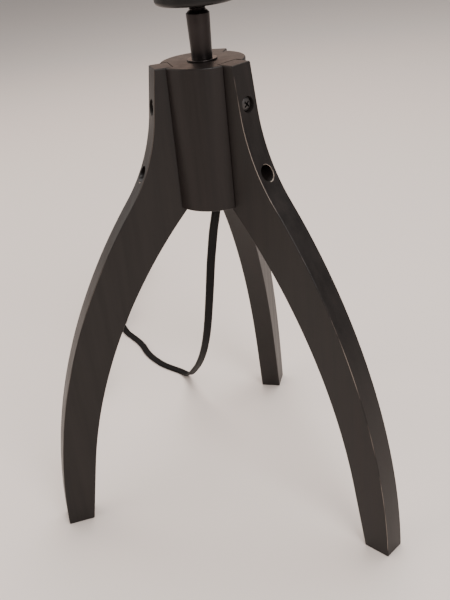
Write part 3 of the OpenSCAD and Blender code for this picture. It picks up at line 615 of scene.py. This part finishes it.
bow_c = in_plate(foot_reach - math.sqrt(bow_r ** 2 - bow_drop ** 2), -bow_drop)
top_end = in_plate(top_reach, hub_top)
top_down = in_plate(math.sin(top_lean), -math.cos(top_lean))
start = top_end + hollow_r * aimed(top_lean) - bow_c
half_b = start.dot(top_down)
slide = -half_b - math.sqrt(half_b ** 2 - start.dot(start) + (bow_r + hollow_r) ** 2)
hollow_c = bow_c + start + slide * top_down
inner_bend = in_plate(foot_reach - foot_w - foot_straight * math.tan(foot_lean), foot_straight)
inner_end = in_plate(slot_floor, hub_bottom)
chord = inner_end - inner_bend
inner_r = -chord.dot(chord) / (2 * chord.dot(aimed(foot_lean)))
inner_c = inner_bend - inner_r * aimed(foot_lean)
print("straight above the hollow", round(slide, 1), "mm, inner bow's radius", round(inner_r, 1), "mm")

# %% [markdown]
# ## The legs: the board
# On the bench a template and a router follow that outline. Here one vertex is swung about
# each centre in turn and leaves the outline behind, which is filled, thickened and rounded
# over at its edges. The slanting strips of the outer edges get the pale finish of wear and
# painted highlight.

# %% Legs: the board
bow_steps, hollow_steps, inner_steps = 44, 18, 34
edge_round = 0.7
least_out, least_slant, most_slant, sole_clear = 0.25, 0.5, 0.87, 4
edge_wear_and_highlight, rim_wear_and_highlight = 1, 2


def swing(bm, vert, centre, angle, steps):
    """Draws an arc: the vertex goes round the centre and leaves edges behind."""
    made = bmesh.ops.spin(bm, geom=[vert], cent=centre, axis=(0, -1, 0), angle=angle, steps=steps)
    return verts_in(made["geom_last"])[0]


def stretch(bm, vert, end):
    """Draws a straight line to the end."""
    made = bmesh.ops.extrude_vert_indiv(bm, verts=[vert])["verts"][0]
    made.co = end
    return made


def thicken(bm, thickness):
    """Fills a closed outline in the xz plane and gives it a thickness, half to each side."""
    bmesh.ops.contextual_create(bm, geom=bm.edges[:])
    bmesh.ops.translate(bm, vec=(0, -thickness / 2, 0), verts=bm.verts)
    made = bmesh.ops.extrude_face_region(bm, geom=bm.faces[:])["geom"]
    bmesh.ops.translate(bm, vec=(0, thickness, 0), verts=verts_in(made))


def on_outer_edge(face):
    """Tells the slanting strips of the outer edges, clear of the foot's sole."""
    slants = least_slant < abs(face.normal.y) < most_slant
    return face.normal.x > least_out and slants and face.calc_center_median().z > sole_clear


board = bmesh.new()
first = vert = board.verts.new(in_plate(foot_reach, 0))
bow_angle = toward(bow_c, hollow_c) - math.asin(bow_drop / bow_r)
vert = swing(board, vert, bow_c, bow_angle, bow_steps)
vert = swing(board, vert, hollow_c, top_lean - toward(bow_c, hollow_c), hollow_steps)
for end in (top_end, in_plate(slot_floor, hub_top), inner_end):
    vert = stretch(board, vert, end)
vert = swing(board, vert, inner_c, foot_lean - toward(inner_c, inner_end), inner_steps)
vert = stretch(board, vert, in_plate(foot_reach - foot_w, 0))
board.edges.new((vert, first))
thicken(board, leg_t)
# The rounded strips of the outer edges take the pale finish: wear and a painted highlight.
worn_and_lit = [face for face in soften(board, edge_round, angle=30) if on_outer_edge(face)]
for face in worn_and_lit:
    face.material_index = edge_wear_and_highlight
print("board with", len(board.faces), "faces,", len(worn_and_lit), "of them worn")

# %% [markdown]
# ## The legs: the screw holes
# Two stepped holes go in from the outer edge: a narrow one for the shank and a wide
# counterbore in which the head sinks. Two cylinders cut each hole. The counterbore's rim is
# found by its distance from the screw's line and rounded. Around the lower holes one half of
# the rim is pale: partly worn through its black, partly a painted highlight.

# %% Legs: the screw holes
screw_drops = {"upper_screws": 23, "lower_screws": 62.5}
shank_hole_d, shank_hole_from, shank_hole_l = 4.1, 12, 20
counterbore_d, counterbore_l, head_seat = 9.4, 40, 30.4
rim_round, rim_from, rim_angle, rim_near = 0.35, 32, 0.8, 0.05
wear_and_highlight_from = -0.5


def screw_line(turn, drop):
    """The line of a screw: it starts on the lamp's axis and runs out through the leg."""
    return round_axis(turn) @ forward(hub_top - drop) @ OUTWARD


def on_rim(edge, drop):
    """Tells the sharp outer edges of the counterbore that is this far below the hub's top."""
    def off(v):
        return abs(math.hypot(v.co.y, v.co.z - hub_top + drop) - counterbore_d / 2)

    sharp = edge.is_manifold and edge.calc_face_angle() > rim_angle
    return sharp and all(v.co.x > rim_from and off(v) < rim_near for v in edge.verts)


for drop in screw_drops.values():
    hole = screw_line(0, drop)
    board = combine(board, rod(shank_hole_d, shank_hole_l, hole @ forward(shank_hole_from)))
    board = combine(board, rod(counterbore_d, counterbore_l, hole @ forward(head_seat), 64))
for name, drop in screw_drops.items():
    rim = [edge for edge in board.edges if on_rim(edge, drop)]
    made = bmesh.ops.bevel(board, geom=rim, offset=rim_round, segments=2, profile=0.5,
                           affect="EDGES", clamp_overlap=False, material=-1)
    # One half of each lower rim takes the pale finish: wear and a painted highlight.
    for face in made["faces"]:
        if name == "lower_screws" and face.calc_center_median().y > wear_and_highlight_from:
            face.material_index = rim_wear_and_highlight
    print("hole rim of", len(rim), "edges rounded")
for name, turn in leg_turns.items():
    wood, *woods_with_wear_and_highlight = leg_woods[name]
    leg = finish_piece("bowed_" + name, repeat(board.copy(), [round_axis(turn)]), "stand",
                       wood, [name])
    for finish in woods_with_wear_and_highlight:
        leg.data.materials.append(finish)
board.free()

# %% [markdown]
# ## The hub
# The hub is a turned cylinder with its two rims just broken. Three slots are then cut down its
# whole length for the legs, 1 mm wider than the board, and a hole runs through for the tube,
# with a wider recess below for the nut. Slots give the legs a long glue face and keep them at
# 120 degrees without any measuring. The cutters reach past the faces they cut, so that no
# thin skin is left.

# %% Hub
hub_r, hub_round, slot_gap = 25.5, 0.8, 1
tube_hole_d, recess_d, recess_h = 10, 21, 14
pilot_d, pilot_from, pilot_l = 4, 9.4, 12
cutter_l, cutter_h, cutter_past = 30, 100, 5
bm = turned([(0, hub_bottom), (hub_r, hub_bottom), (hub_r, hub_top), (0, hub_top)], 128)
soften(bm, hub_round, 4)
slot_centre = Matrix.Translation((slot_floor + cutter_l / 2, 0, (hub_top + hub_bottom) / 2))
for turn in leg_turns.values():
    bm = combine(bm, block((cutter_l, leg_t + slot_gap, cutter_h), round_axis(turn) @ slot_centre))
bm = combine(bm, rod(tube_hole_d, cutter_h, forward(hub_bottom - cutter_past), 64))
bm = combine(bm, rod(recess_d, recess_h + 1, forward(hub_bottom - 1), 64))
for drop in screw_drops.values():
    for turn in leg_turns.values():
        bm = combine(bm, rod(pilot_d, pilot_l, screw_line(turn, drop) @ forward(pilot_from), 24))
finish_piece("turned_hub", bm, "stand", hub_wood, ["hub"])

# %% [markdown]
# ## The leg screws
# Two screws hold each leg. They are pan heads with a cross recess, blackened so that they all
# but vanish in their holes. A press forms the head and the recess in one blow, so the recess
# here is cut from the turned head. Its walls and floor get a deeper black, which is painted
# shade. The upper heads end almost level with the leg, the lower ones lie deep, because the
# leg is thicker there.

# %% Leg screws
shank_r, screw_l, point_r, point_l = 1.95, 21, 0.65, 3.9
head_r, head_edge, head_h = 4.1, 0.9, 2.6
cross_l, cross_w, cross_depth, cross_r = 4.4, 1.05, 1.7, 2.25
steep, level, near = 0.7, 0.9, 0.05


def in_cross(face):
    """Tells the recess from the head's dome: its walls are steep and its floor is low."""
    centre = face.calc_center_median()
    above = centre.z - (head_h - cross_depth)
    inside = above > -near and math.hypot(centre.x, centre.y) < cross_r
    return (inside and face.normal.z < steep) or (abs(above) < near and face.normal.z > level)


for name, drop in screw_drops.items():
    dome = arc_points((0, head_edge), (head_r, head_h - head_edge), 0, 84, 8)
    bm = turned([(0, -screw_l), (point_r, -screw_l), (shank_r, point_l - screw_l), (shank_r, 0),
                 (head_r, 0), *dome, (0, head_h)], 48)
    for turn in (45, 135):
        cross = round_axis(turn) @ forward(head_h)
        bm = combine(bm, block((cross_l, cross_w, 2 * cross_depth), cross))
    # The recess's walls and floor take the second finish, a painted shade.
    for face in bm.faces:
        face.material_index = 1 if in_cross(face) else 0
    places = [screw_line(turn, drop) @ forward(head_seat) for turn in leg_turns.values()]
    screws = finish_piece("pan_head_" + name, repeat(bm, places), "stand",
                          black_oxide, [name])
    screws.data.materials.append(painted_shade_black)

# %% [markdown]
# ## The stem
# A threaded tube runs from the nut under the hub up into the lampholder. Between them it wears
# a tapered sleeve that stands on a washer. Only a short neck of thread shows, under the
# holder. A bump could hint at that thread, but its outline would stay smooth. So the thread is
# real: rows of vertices are sunk along a helix of 1 mm pitch.

# %% Stem
stem_hole_r, washer_r, washer_t = 5, 9, 1
bm = turned([(stem_hole_r, hub_top), (washer_r, hub_top), (washer_r, hub_top + washer_t),
             (stem_hole_r, hub_top + washer_t)])
soften(bm, 0.3)
finish_piece("turned_washer", bm, "stand", black_nickel, ["stem_washer"])

sleeve_foot, sleeve_foot_r = hub_top + washer_t, 6.15
sleeve_top, sleeve_top_r, sleeve_lip_r, sleeve_cone = 335.5, 6.9, 5.3, 1.6
bm = turned([(stem_hole_r, sleeve_foot), (sleeve_foot_r, sleeve_foot),
             (sleeve_top_r, sleeve_top - sleeve_cone), (sleeve_lip_r, sleeve_top),
             (stem_hole_r, sleeve_top)])
soften(bm, 0.25)
finish_piece("tapered_sleeve", bm, "stand", black_nickel, ["stem_sleeve"])

tube_r, tube_bore_r, tube_chamfer = 4.9, 3.7, 0.2
tube_foot, tube_top = 229.5, 348.1
neck_foot, neck_top, neck_pitch, neck_depth = 334, 342, 1, 0.45
chamfer_r = tube_r - tube_chamfer
bm = turned([(tube_bore_r, tube_foot), (chamfer_r, tube_foot), (tube_r, tube_foot + tube_chamfer),
             *rows(tube_r, neck_foot, neck_top, neck_pitch),
             (tube_r, tube_top - tube_chamfer), (chamfer_r, tube_top), (tube_bore_r, tube_top)], 64)
cut_thread(bm, neck_foot, neck_top, neck_pitch, neck_depth, (tube_r - 0.1, tube_r + 0.1))
finish_piece("stem_tube", bm, "stand", black_nickel, ["threaded_tube"])

# %% [markdown]
# ## The lampholder's cap
# The holder is moulded in three parts, and the cap is the lowest. It is a cup that screws down
# over the insert, with a low boss where the tube enters and a hole for the switch's shaft in
# its side. It could be modelled as two cylinders, one cut from the other. One outline that
# runs round its whole wall is simpler, and its rounded lower edge is part of it. A mould
# leaves the other edges a little round too, so they are softened.

# %% Lampholder: the cap
cap_foot, cap_rim, cap_r, cap_t, cap_round = 339.9, 366.9, 24.2, 3, 2.6
boss_h, boss_r, boss_foot_r = 0.9, 5.6, 5.9
ledge_r, ledge_h, cap_inner_r = 21.8, 4, 19.5
moulded_round = 0.3
knob_turn, knob_z, shaft_hole_d, shaft_hole_from, shaft_hole_l = 30, 358.1, 4.72, 16, 20

bm = turned([(stem_hole_r, cap_foot - boss_h), (boss_r, cap_foot - boss_h), (boss_foot_r, cap_foot),
             *arc_points((cap_r - cap_round, cap_foot + cap_round), cap_round, -90, 0, 8),
             (cap_r, cap_rim), (ledge_r, cap_rim), (ledge_r, cap_rim - ledge_h),
             (cap_inner_r, cap_rim - ledge_h), (cap_inner_r, cap_foot + cap_t),
             (stem_hole_r, cap_foot + cap_t)], 128)
soften(bm, moulded_round)
knob_place = round_axis(knob_turn) @ forward(knob_z) @ OUTWARD
bm = combine(bm, rod(shaft_hole_d, shaft_hole_l, knob_place @ forward(shaft_hole_from)))
finish_piece("moulded_cap", bm, "stand", moulded_black, ["holder_cap"])

# %% [markdown]
# ## The skirt and the shade ring
# The skirt has a coarse round thread, and the shade ring runs on that thread to clamp a shade.
# The ring has finger ribs. Each rib could be a bar of its own, joined on. Both pieces are
# turned plain instead, and then their vertices are moved in for the thread or out for the
# ribs, which keeps the crests soft, as they come out of a mould.

# %% Lampholder: the skirt and the shade ring
skirt_r, skirt_bore_r, skirt_top, skirt_lip, flange_t = 19.7, 16.8, 397.9, 1, 3
skirt_pitch, skirt_depth, thread_foot, thread_top = 2.5, 0.9, 371.2, 397.6
skirt_foot = cap_rim + flange_t
bm = turned([(skirt_bore_r, cap_rim), (cap_r, cap_rim), (cap_r, skirt_foot),
             *rows(skirt_r, skirt_foot, skirt_top - skirt_lip, skirt_pitch),
             (skirt_r - skirt_lip, skirt_top), (skirt_bore_r, skirt_top)])
soften(bm, moulded_round)
cut_thread(bm, thread_foot, thread_top, skirt_pitch, skirt_depth, (skirt_r - 1.1, skirt_r + 0.2))
finish_piece("threaded_skirt", bm, "stand", moulded_black, ["holder_skirt"])

ring_foot, ring_flange_top, ring_top = 370.2, 372.6, 377.2
ring_bore_r, ring_flange_r, ring_r = 19.8, 28.5, 23.7
ribs, rib_h, rib_steps = 24, 1.1, 8
bm = turned([(ring_bore_r, ring_foot), (ring_flange_r, ring_foot), (ring_flange_r, ring_flange_top),
             (ring_r, ring_flange_top), (ring_r, ring_top), (ring_bore_r, ring_top)],
            ribs * rib_steps)
soften(bm, 0.35)
wall = [v for v in bm.verts
        if v.co.z > ring_flange_top + 0.2 and math.hypot(v.co.x, v.co.y) > ring_r - 0.7]
push_out(wall, lambda angle, z: rib_h * max(0, min(1, 0.5 + math.cos(ribs * angle))))
finish_piece("ribbed_shade_ring", bm, "ring", moulded_black, ["shade_ring"])

# %% [markdown]
# ## The screw shell
# The brass shell is rolled from thin sheet, so its thread shows on both sides: 7 turns to the
# inch, with round crests. Rolling pushes the wall inwards between the crests, and so does this
# code. The foot is drawn in and has a hole for the centre contact and a slot for the side one.

# %% Screw shell
shell_r, sheet_t, shell_pitch, shell_depth = 14, 0.7, 3.63, 0.95
shell_hole_r, shell_foot_r, shell_shoulder = 4.6, 12.8, 370.3
rows_foot, rows_top, shell_top = 370.8, 388.4, 388.9
side_turn, side_reach, side_slot = 210, 9.5, (8.2, 5.2, 3)
inner_shell_r = shell_r - sheet_t
bm = turned([(shell_hole_r, cap_rim), (shell_foot_r, cap_rim), (shell_r, shell_shoulder),
             *rows(shell_r, rows_foot, rows_top, shell_pitch),
             (shell_r, shell_top), (inner_shell_r, shell_top),
             *rows(inner_shell_r, rows_foot, rows_top, shell_pitch)[::-1],
             (inner_shell_r, shell_shoulder), (shell_foot_r - sheet_t, cap_rim + sheet_t),
             (shell_hole_r, cap_rim + sheet_t)], 96)
cut_thread(bm, rows_foot + 0.1, shell_top + 0.5, shell_pitch, shell_depth,
           (inner_shell_r - 0.1, shell_r + 0.1))
side_place = round_axis(side_turn) @ Matrix.Translation((side_reach, 0, cap_rim))
bm = combine(bm, block(side_slot, side_place))
finish_piece("rolled_screw_shell", bm, "stand", bare_brass, ["thread_shell"], sharp=50)

# %% [markdown]
# ## The switch knob
# The knob is a moulded wing on a round collar. A flat wing is easy to turn between two fingers
# and shows which way it points. The wing's outline is drawn out to its thickness and rounded
# well over. It is joined to a collar with a boss, thick enough for the bore of the shaft.

# %% Switch knob
wing_r, wing_t, wing_foot, wing_shoulder, wing_centre = 7.5, 4.4, 3, 7, 9.5
collar_r, collar_h, knob_boss_r, knob_boss_h = 4.5, 4, 3.4, 10.8
shaft_bore_d, shaft_bore_depth, knob_seat = 4.7, 8.55, 24.7
bm = bmesh.new()
wing = [(collar_r, wing_foot), (wing_r, wing_shoulder),
        *arc_points((0, wing_centre), wing_r, 0, 180, 20),
        (-wing_r, wing_shoulder), (-collar_r, wing_foot)]
closed_ring(bm, wing, UPRIGHT)
thicken(bm, wing_t)
soften(bm, 1.3, 4)
collar = turned([(0, 0), (collar_r, 0), (collar_r, collar_h), (knob_boss_r, collar_h + 1.4),
                 (knob_boss_r - 0.2, knob_boss_h - 1), (knob_boss_r - 1, knob_boss_h),
                 (0, knob_boss_h)], 64)
soften(collar, 0.5)
bm = combine(bm, collar, "UNION")
bm = combine(bm, rod(shaft_bore_d, shaft_bore_depth + 1, forward(-1)))
finish_piece("winged_knob", repeat(bm, [knob_place @ forward(knob_seat)]), "knob",
             moulded_black, ["switch_knob"])

# %% [markdown]
# ## The tie
# A woven strap holds the hank at its waist, its loose end lapped over the top. Cloth could be
# draped round the loops, but a strap that is pulled tight is close to a box with round
# corners. So a smaller box is cut out of a bigger one, and the lap is joined on top.

# %% Tie
strap = Matrix.Translation(hank_at / MM) @ Matrix.Rotation(hank_turn, 4, "Z")
strap_t, strap_w, past_w = 1, 12, 20
inside_w, inside_low, inside_high, inside_round, outside_round = 12.8, 1.05, 15.96, 1.2, 1.8
lap_size, lap_at = (15, 11, 1.4), (3, 0.4, 1.1)


def strap_loop(grow, width, corner_round):
    """A box round the hank's waist, grown by so much, with its long edges rounded."""
    low, high = inside_low - grow, inside_high + grow
    loop = block((2 * (inside_w + grow), width, high - low), forward((low + high) / 2))
    corners = [e for e in loop.edges if abs(e.verts[0].co.y - e.verts[1].co.y) > 1]
    bmesh.ops.bevel(loop, geom=corners, offset=corner_round, segments=5, profile=0.5,
                    affect="EDGES", clamp_overlap=True, material=-1)
    return loop


bm = combine(strap_loop(strap_t, strap_w, outside_round), strap_loop(0, past_w, inside_round))
lap = block(lap_size, forward(inside_high) @ Matrix.Translation(lap_at))
soften(lap, 0.3)
bm = combine(bm, lap, "UNION")
tie = finish_piece("strap_tie", repeat(bm, [strap]), "stand", woven_black, ["cord_tie"])

# %% [markdown]
# ## The strain relief
# Behind the plug a ribbed sleeve lets the lead bend gently. Stacked cylinders would look
# turned, not moulded. So the sleeve, and the plug after it, is one oval, drawn out through
# frames that also scale it. A slice is a distance along the plug, a width and a height.

# %% Strain relief
plug_frame = Matrix.Translation(plug_at / MM) @ Matrix.Rotation(plug_turn, 4, "Z")
relief_l, relief_w, relief_h, relief_ribs = 25, 7.8, 5.4, 4
relief_end_w, relief_end_h = 10.4, 7.5


def oval(power, steps=40):
    """Points round an oval that is 1 wide and 1 high. A higher power makes it squarer."""
    def bent(value):
        return math.copysign(abs(value) ** (2 / power), value) / 2

    angles = [math.tau * i / steps for i in range(steps)]
    return [(bent(math.cos(a)), bent(math.sin(a))) for a in angles]


def drawn_oval(slices, power):
    """Draws an oval through slices of (distance, width, height) along the plug."""
    return drawn_solid(oval(power), [
        plug_frame @ Matrix.Translation((x, 0, 0)) @ OUTWARD @ Matrix.Diagonal((h, w, 1, 1))
        for x, w, h in slices])


slices = [(0, 7.4, 5.0), (0.5, relief_w, relief_h)]
for i in range(1, relief_ribs + 1):
    f = i / (relief_ribs + 0.5)
    x, w, h = relief_l * f, relief_w + 2.6 * f, relief_h + 2.1 * f
    slices += [(x - 1.6, w, h), (x - 1.2, w + 1.4, h + 1.2), (x + 0.7, w + 1.6, h + 1.4),
               (x + 1.1, w, h)]
slices.append((relief_l, relief_end_w, relief_end_h))
relief = finish_piece("ribbed_relief", drawn_oval(slices, 2.4), "stand",
                      soft_vinyl, ["plug_relief"], sharp=40)

# %% [markdown]
# ## The plug
# The plug is moulded onto the lead: a squarer oval with a waist for the fingers. Five small
# grip ridges are joined onto each side, each join tidied into clean triangles before the next.

# %% Plug
waist_at, waist_w, flare = 30, 16.6, 0.55
ridge_size, ridge_lean, ridge_sunk, ridge_shift = (1.3, 1.3, 6.2), 0.27, 0.2, 0.3
sliver = 0.03
bm = drawn_oval([(relief_l, 13.6, 11.4), (25.6, 14.4, 12), (waist_at, waist_w, 12.9), (36, 20, 14),
                 (41, 22, 14), (46.5, 23.6, 14), (54.4, 24, 14), (55.4, 23.2, 13.2),
                 (56, 21.8, 11.8)], 3.4)
bmesh.ops.triangulate(bm, faces=bm.faces)
for side in (-1, 1):
    for x in range(31, 44, 3):
        y = side * ((waist_w + (x - waist_at) * flare) / 2 - ridge_sunk)
        ridge = block(ridge_size, plug_frame @ Matrix.Translation((x + ridge_shift, y, 0))
                      @ Matrix.Rotation(side * ridge_lean, 4, "Z"))
        soften(ridge, 0.3)
        bm = combine(bm, ridge, "UNION")
        bmesh.ops.dissolve_degenerate(bm, dist=sliver, edges=bm.edges)
        bmesh.ops.triangulate(bm, faces=bm.faces)
plug = finish_piece("moulded_plug", bm, "stand", soft_vinyl,
                    ["plug_body"], sharp=40)

# %% [markdown]
# ## Finishes on the frame's own pieces
# Nuts, washer, bushing, contacts and wires are small or hidden. They could be modelled again
# as well, but their frame mesh already has the right flats and corners, so it is kept and
# only gets a finish.

# %% Finishes on the frame's own pieces
finish_of = dict.fromkeys(["lock_washer", "hub_nut", "cap_nut"], zinc)
finish_of.update(dict.fromkeys(
    ["terminal_screws", "centre_contact", "side_contact", "switch_shaft", "plug_blades"],
    bare_brass))
finish_of.update(dict.fromkeys(["cord_bushing", "inner_lead"], soft_vinyl))
finish_of.update(holder_insert=glazed_white, core_wires=brown_vinyl)
for name, finish in finish_of.items():
    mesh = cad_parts[name].data
    mesh.materials.clear()
    mesh.materials.append(finish)
print("finished nodes", len(finish_of))

# %% [markdown]
# ## The lead
# The section of a flat two-core lead is two round lobes side by side with a groove between
# them. A curve object with a round bevel would lose that shape, so the section itself is drawn
# out along the route, with its broad side level, as such a lead lies when it is let go. Where
# the route drops straight down there is no level side, so the frame of the first leaning point
# is used.

# %% Lead: the solid
lobe = lead_t / 2
half_pitch = lead_w / 2 - lobe
half_groove = 0.14 * lead_t
leaning = 0.05
lobe_angles = [math.radians(a) for a in range(-72, 73, 18)]
lead_section = (
    [(half_pitch + lobe * math.cos(a), lobe * math.sin(a)) for a in lobe_angles]
    + [(0, half_groove)]
    + [(-half_pitch - lobe * math.cos(a), -lobe * math.sin(a)) for a in lobe_angles]
    + [(0, -half_groove)]
)


def level_frames(route):
    """A frame at each point: x is level across the route, z runs along it."""
    last = len(route) - 1
    along = [
        (route[min(i + 1, last)] - route[max(i - 1, 0)]).normalized() for i in range(len(route))
    ]
    across = None
    frames = []
    for place, z in reversed(list(zip(route, along))):
        if Vector((z.x, z.y)).length > leaning:
            across = Vector((-z.y, z.x, 0)).normalized()
        y = z.cross(across).normalized()
        x = y.cross(z)
        turn = Matrix((x, y, z)).transposed().to_4x4()
        frames.append(Matrix.Translation(place) @ turn)
    return frames[::-1]


bm = drawn_solid(lead_section, level_frames(lead_route))
lead = make_piece("flat_lead", bm, "stand", soft_vinyl,
                  replaces=["supply_cord", "cord_hank", "cord_tail"], sharp=60)

# %% [markdown]
# ## Floor
# The lamp stands on a plain pale floor, one large flat face. A matt finish keeps reflections
# out of it, so that only the soft shadows of the feet and the lead show where they touch.

# %% Floor
floor_half = 4
bm = bmesh.new()
bmesh.ops.create_grid(bm, x_segments=1, y_segments=1, size=floor_half)
floor_mesh = bpy.data.meshes.new("floor")
bm.to_mesh(floor_mesh)
bm.free()
floor = bpy.data.objects.new("floor", floor_mesh)
bpy.context.scene.collection.objects.link(floor)
floor_finish, _ = new_material("pale_floor", (0.73, 0.65, 0.6), 0.6)
floor_mesh.materials.append(floor_finish)
print("floor", 2 * floor_half, "m wide")

# %% [markdown]
# ## Light
# A large soft light from the front right draws the long highlights on the legs, a warmer one
# from the left fills the shaded side, and a broad light overhead keeps the shadows soft. Two
# weak warm ones stand behind: the hub's lacquered top and the left leg's outer face mirror
# them. One picture of a room could light the lamp too, but single lights can be moved until
# each highlight sits where it should.

# %% Light
world_colour = (0.82, 0.8, 0.8, 1)
world_strength = 0.42


def soft_light(name, place, target, size, power, colour):
    """A round light of so many metres, aimed at the target."""
    data = bpy.data.lights.new(name, "AREA")
    data.shape = "DISK"
    data.size = size
    data.energy = power
    data.color = colour
    light = bpy.data.objects.new(name, data)
    bpy.context.scene.collection.objects.link(light)
    light.location = place
    light.rotation_euler = (Vector(target) - Vector(place)).to_track_quat("-Z", "Y").to_euler()


soft_light("key", (1.05, -1.25, 1.35), (0, 0, 0.15), 1.1, 31, (1.0, 0.97, 0.95))
soft_light("fill", (-1.5, -0.9, 1.0), (0, 0, 0.15), 1.4, 12, (1.0, 0.9, 0.82))
soft_light("top", (0.1, 0.5, 2.0), (0, 0, 0.1), 1.6, 45, (1.0, 0.97, 0.94))
soft_light("behind", (-0.36, 1.28, 0.95), (0, 0, 0.3), 1.1, 2.2, (1.0, 0.6, 0.4))
soft_light("behind_left", (-1.3, 0.5, 0.8), (0, 0, 0.2), 0.9, 5, (1.0, 0.88, 0.8))
world = bpy.data.worlds.new("studio")
world.use_nodes = True
background = world.node_tree.nodes["Background"]
background.inputs["Color"].default_value = world_colour
background.inputs["Strength"].default_value = world_strength
bpy.context.scene.world = world
print("lights", len(bpy.data.lights))
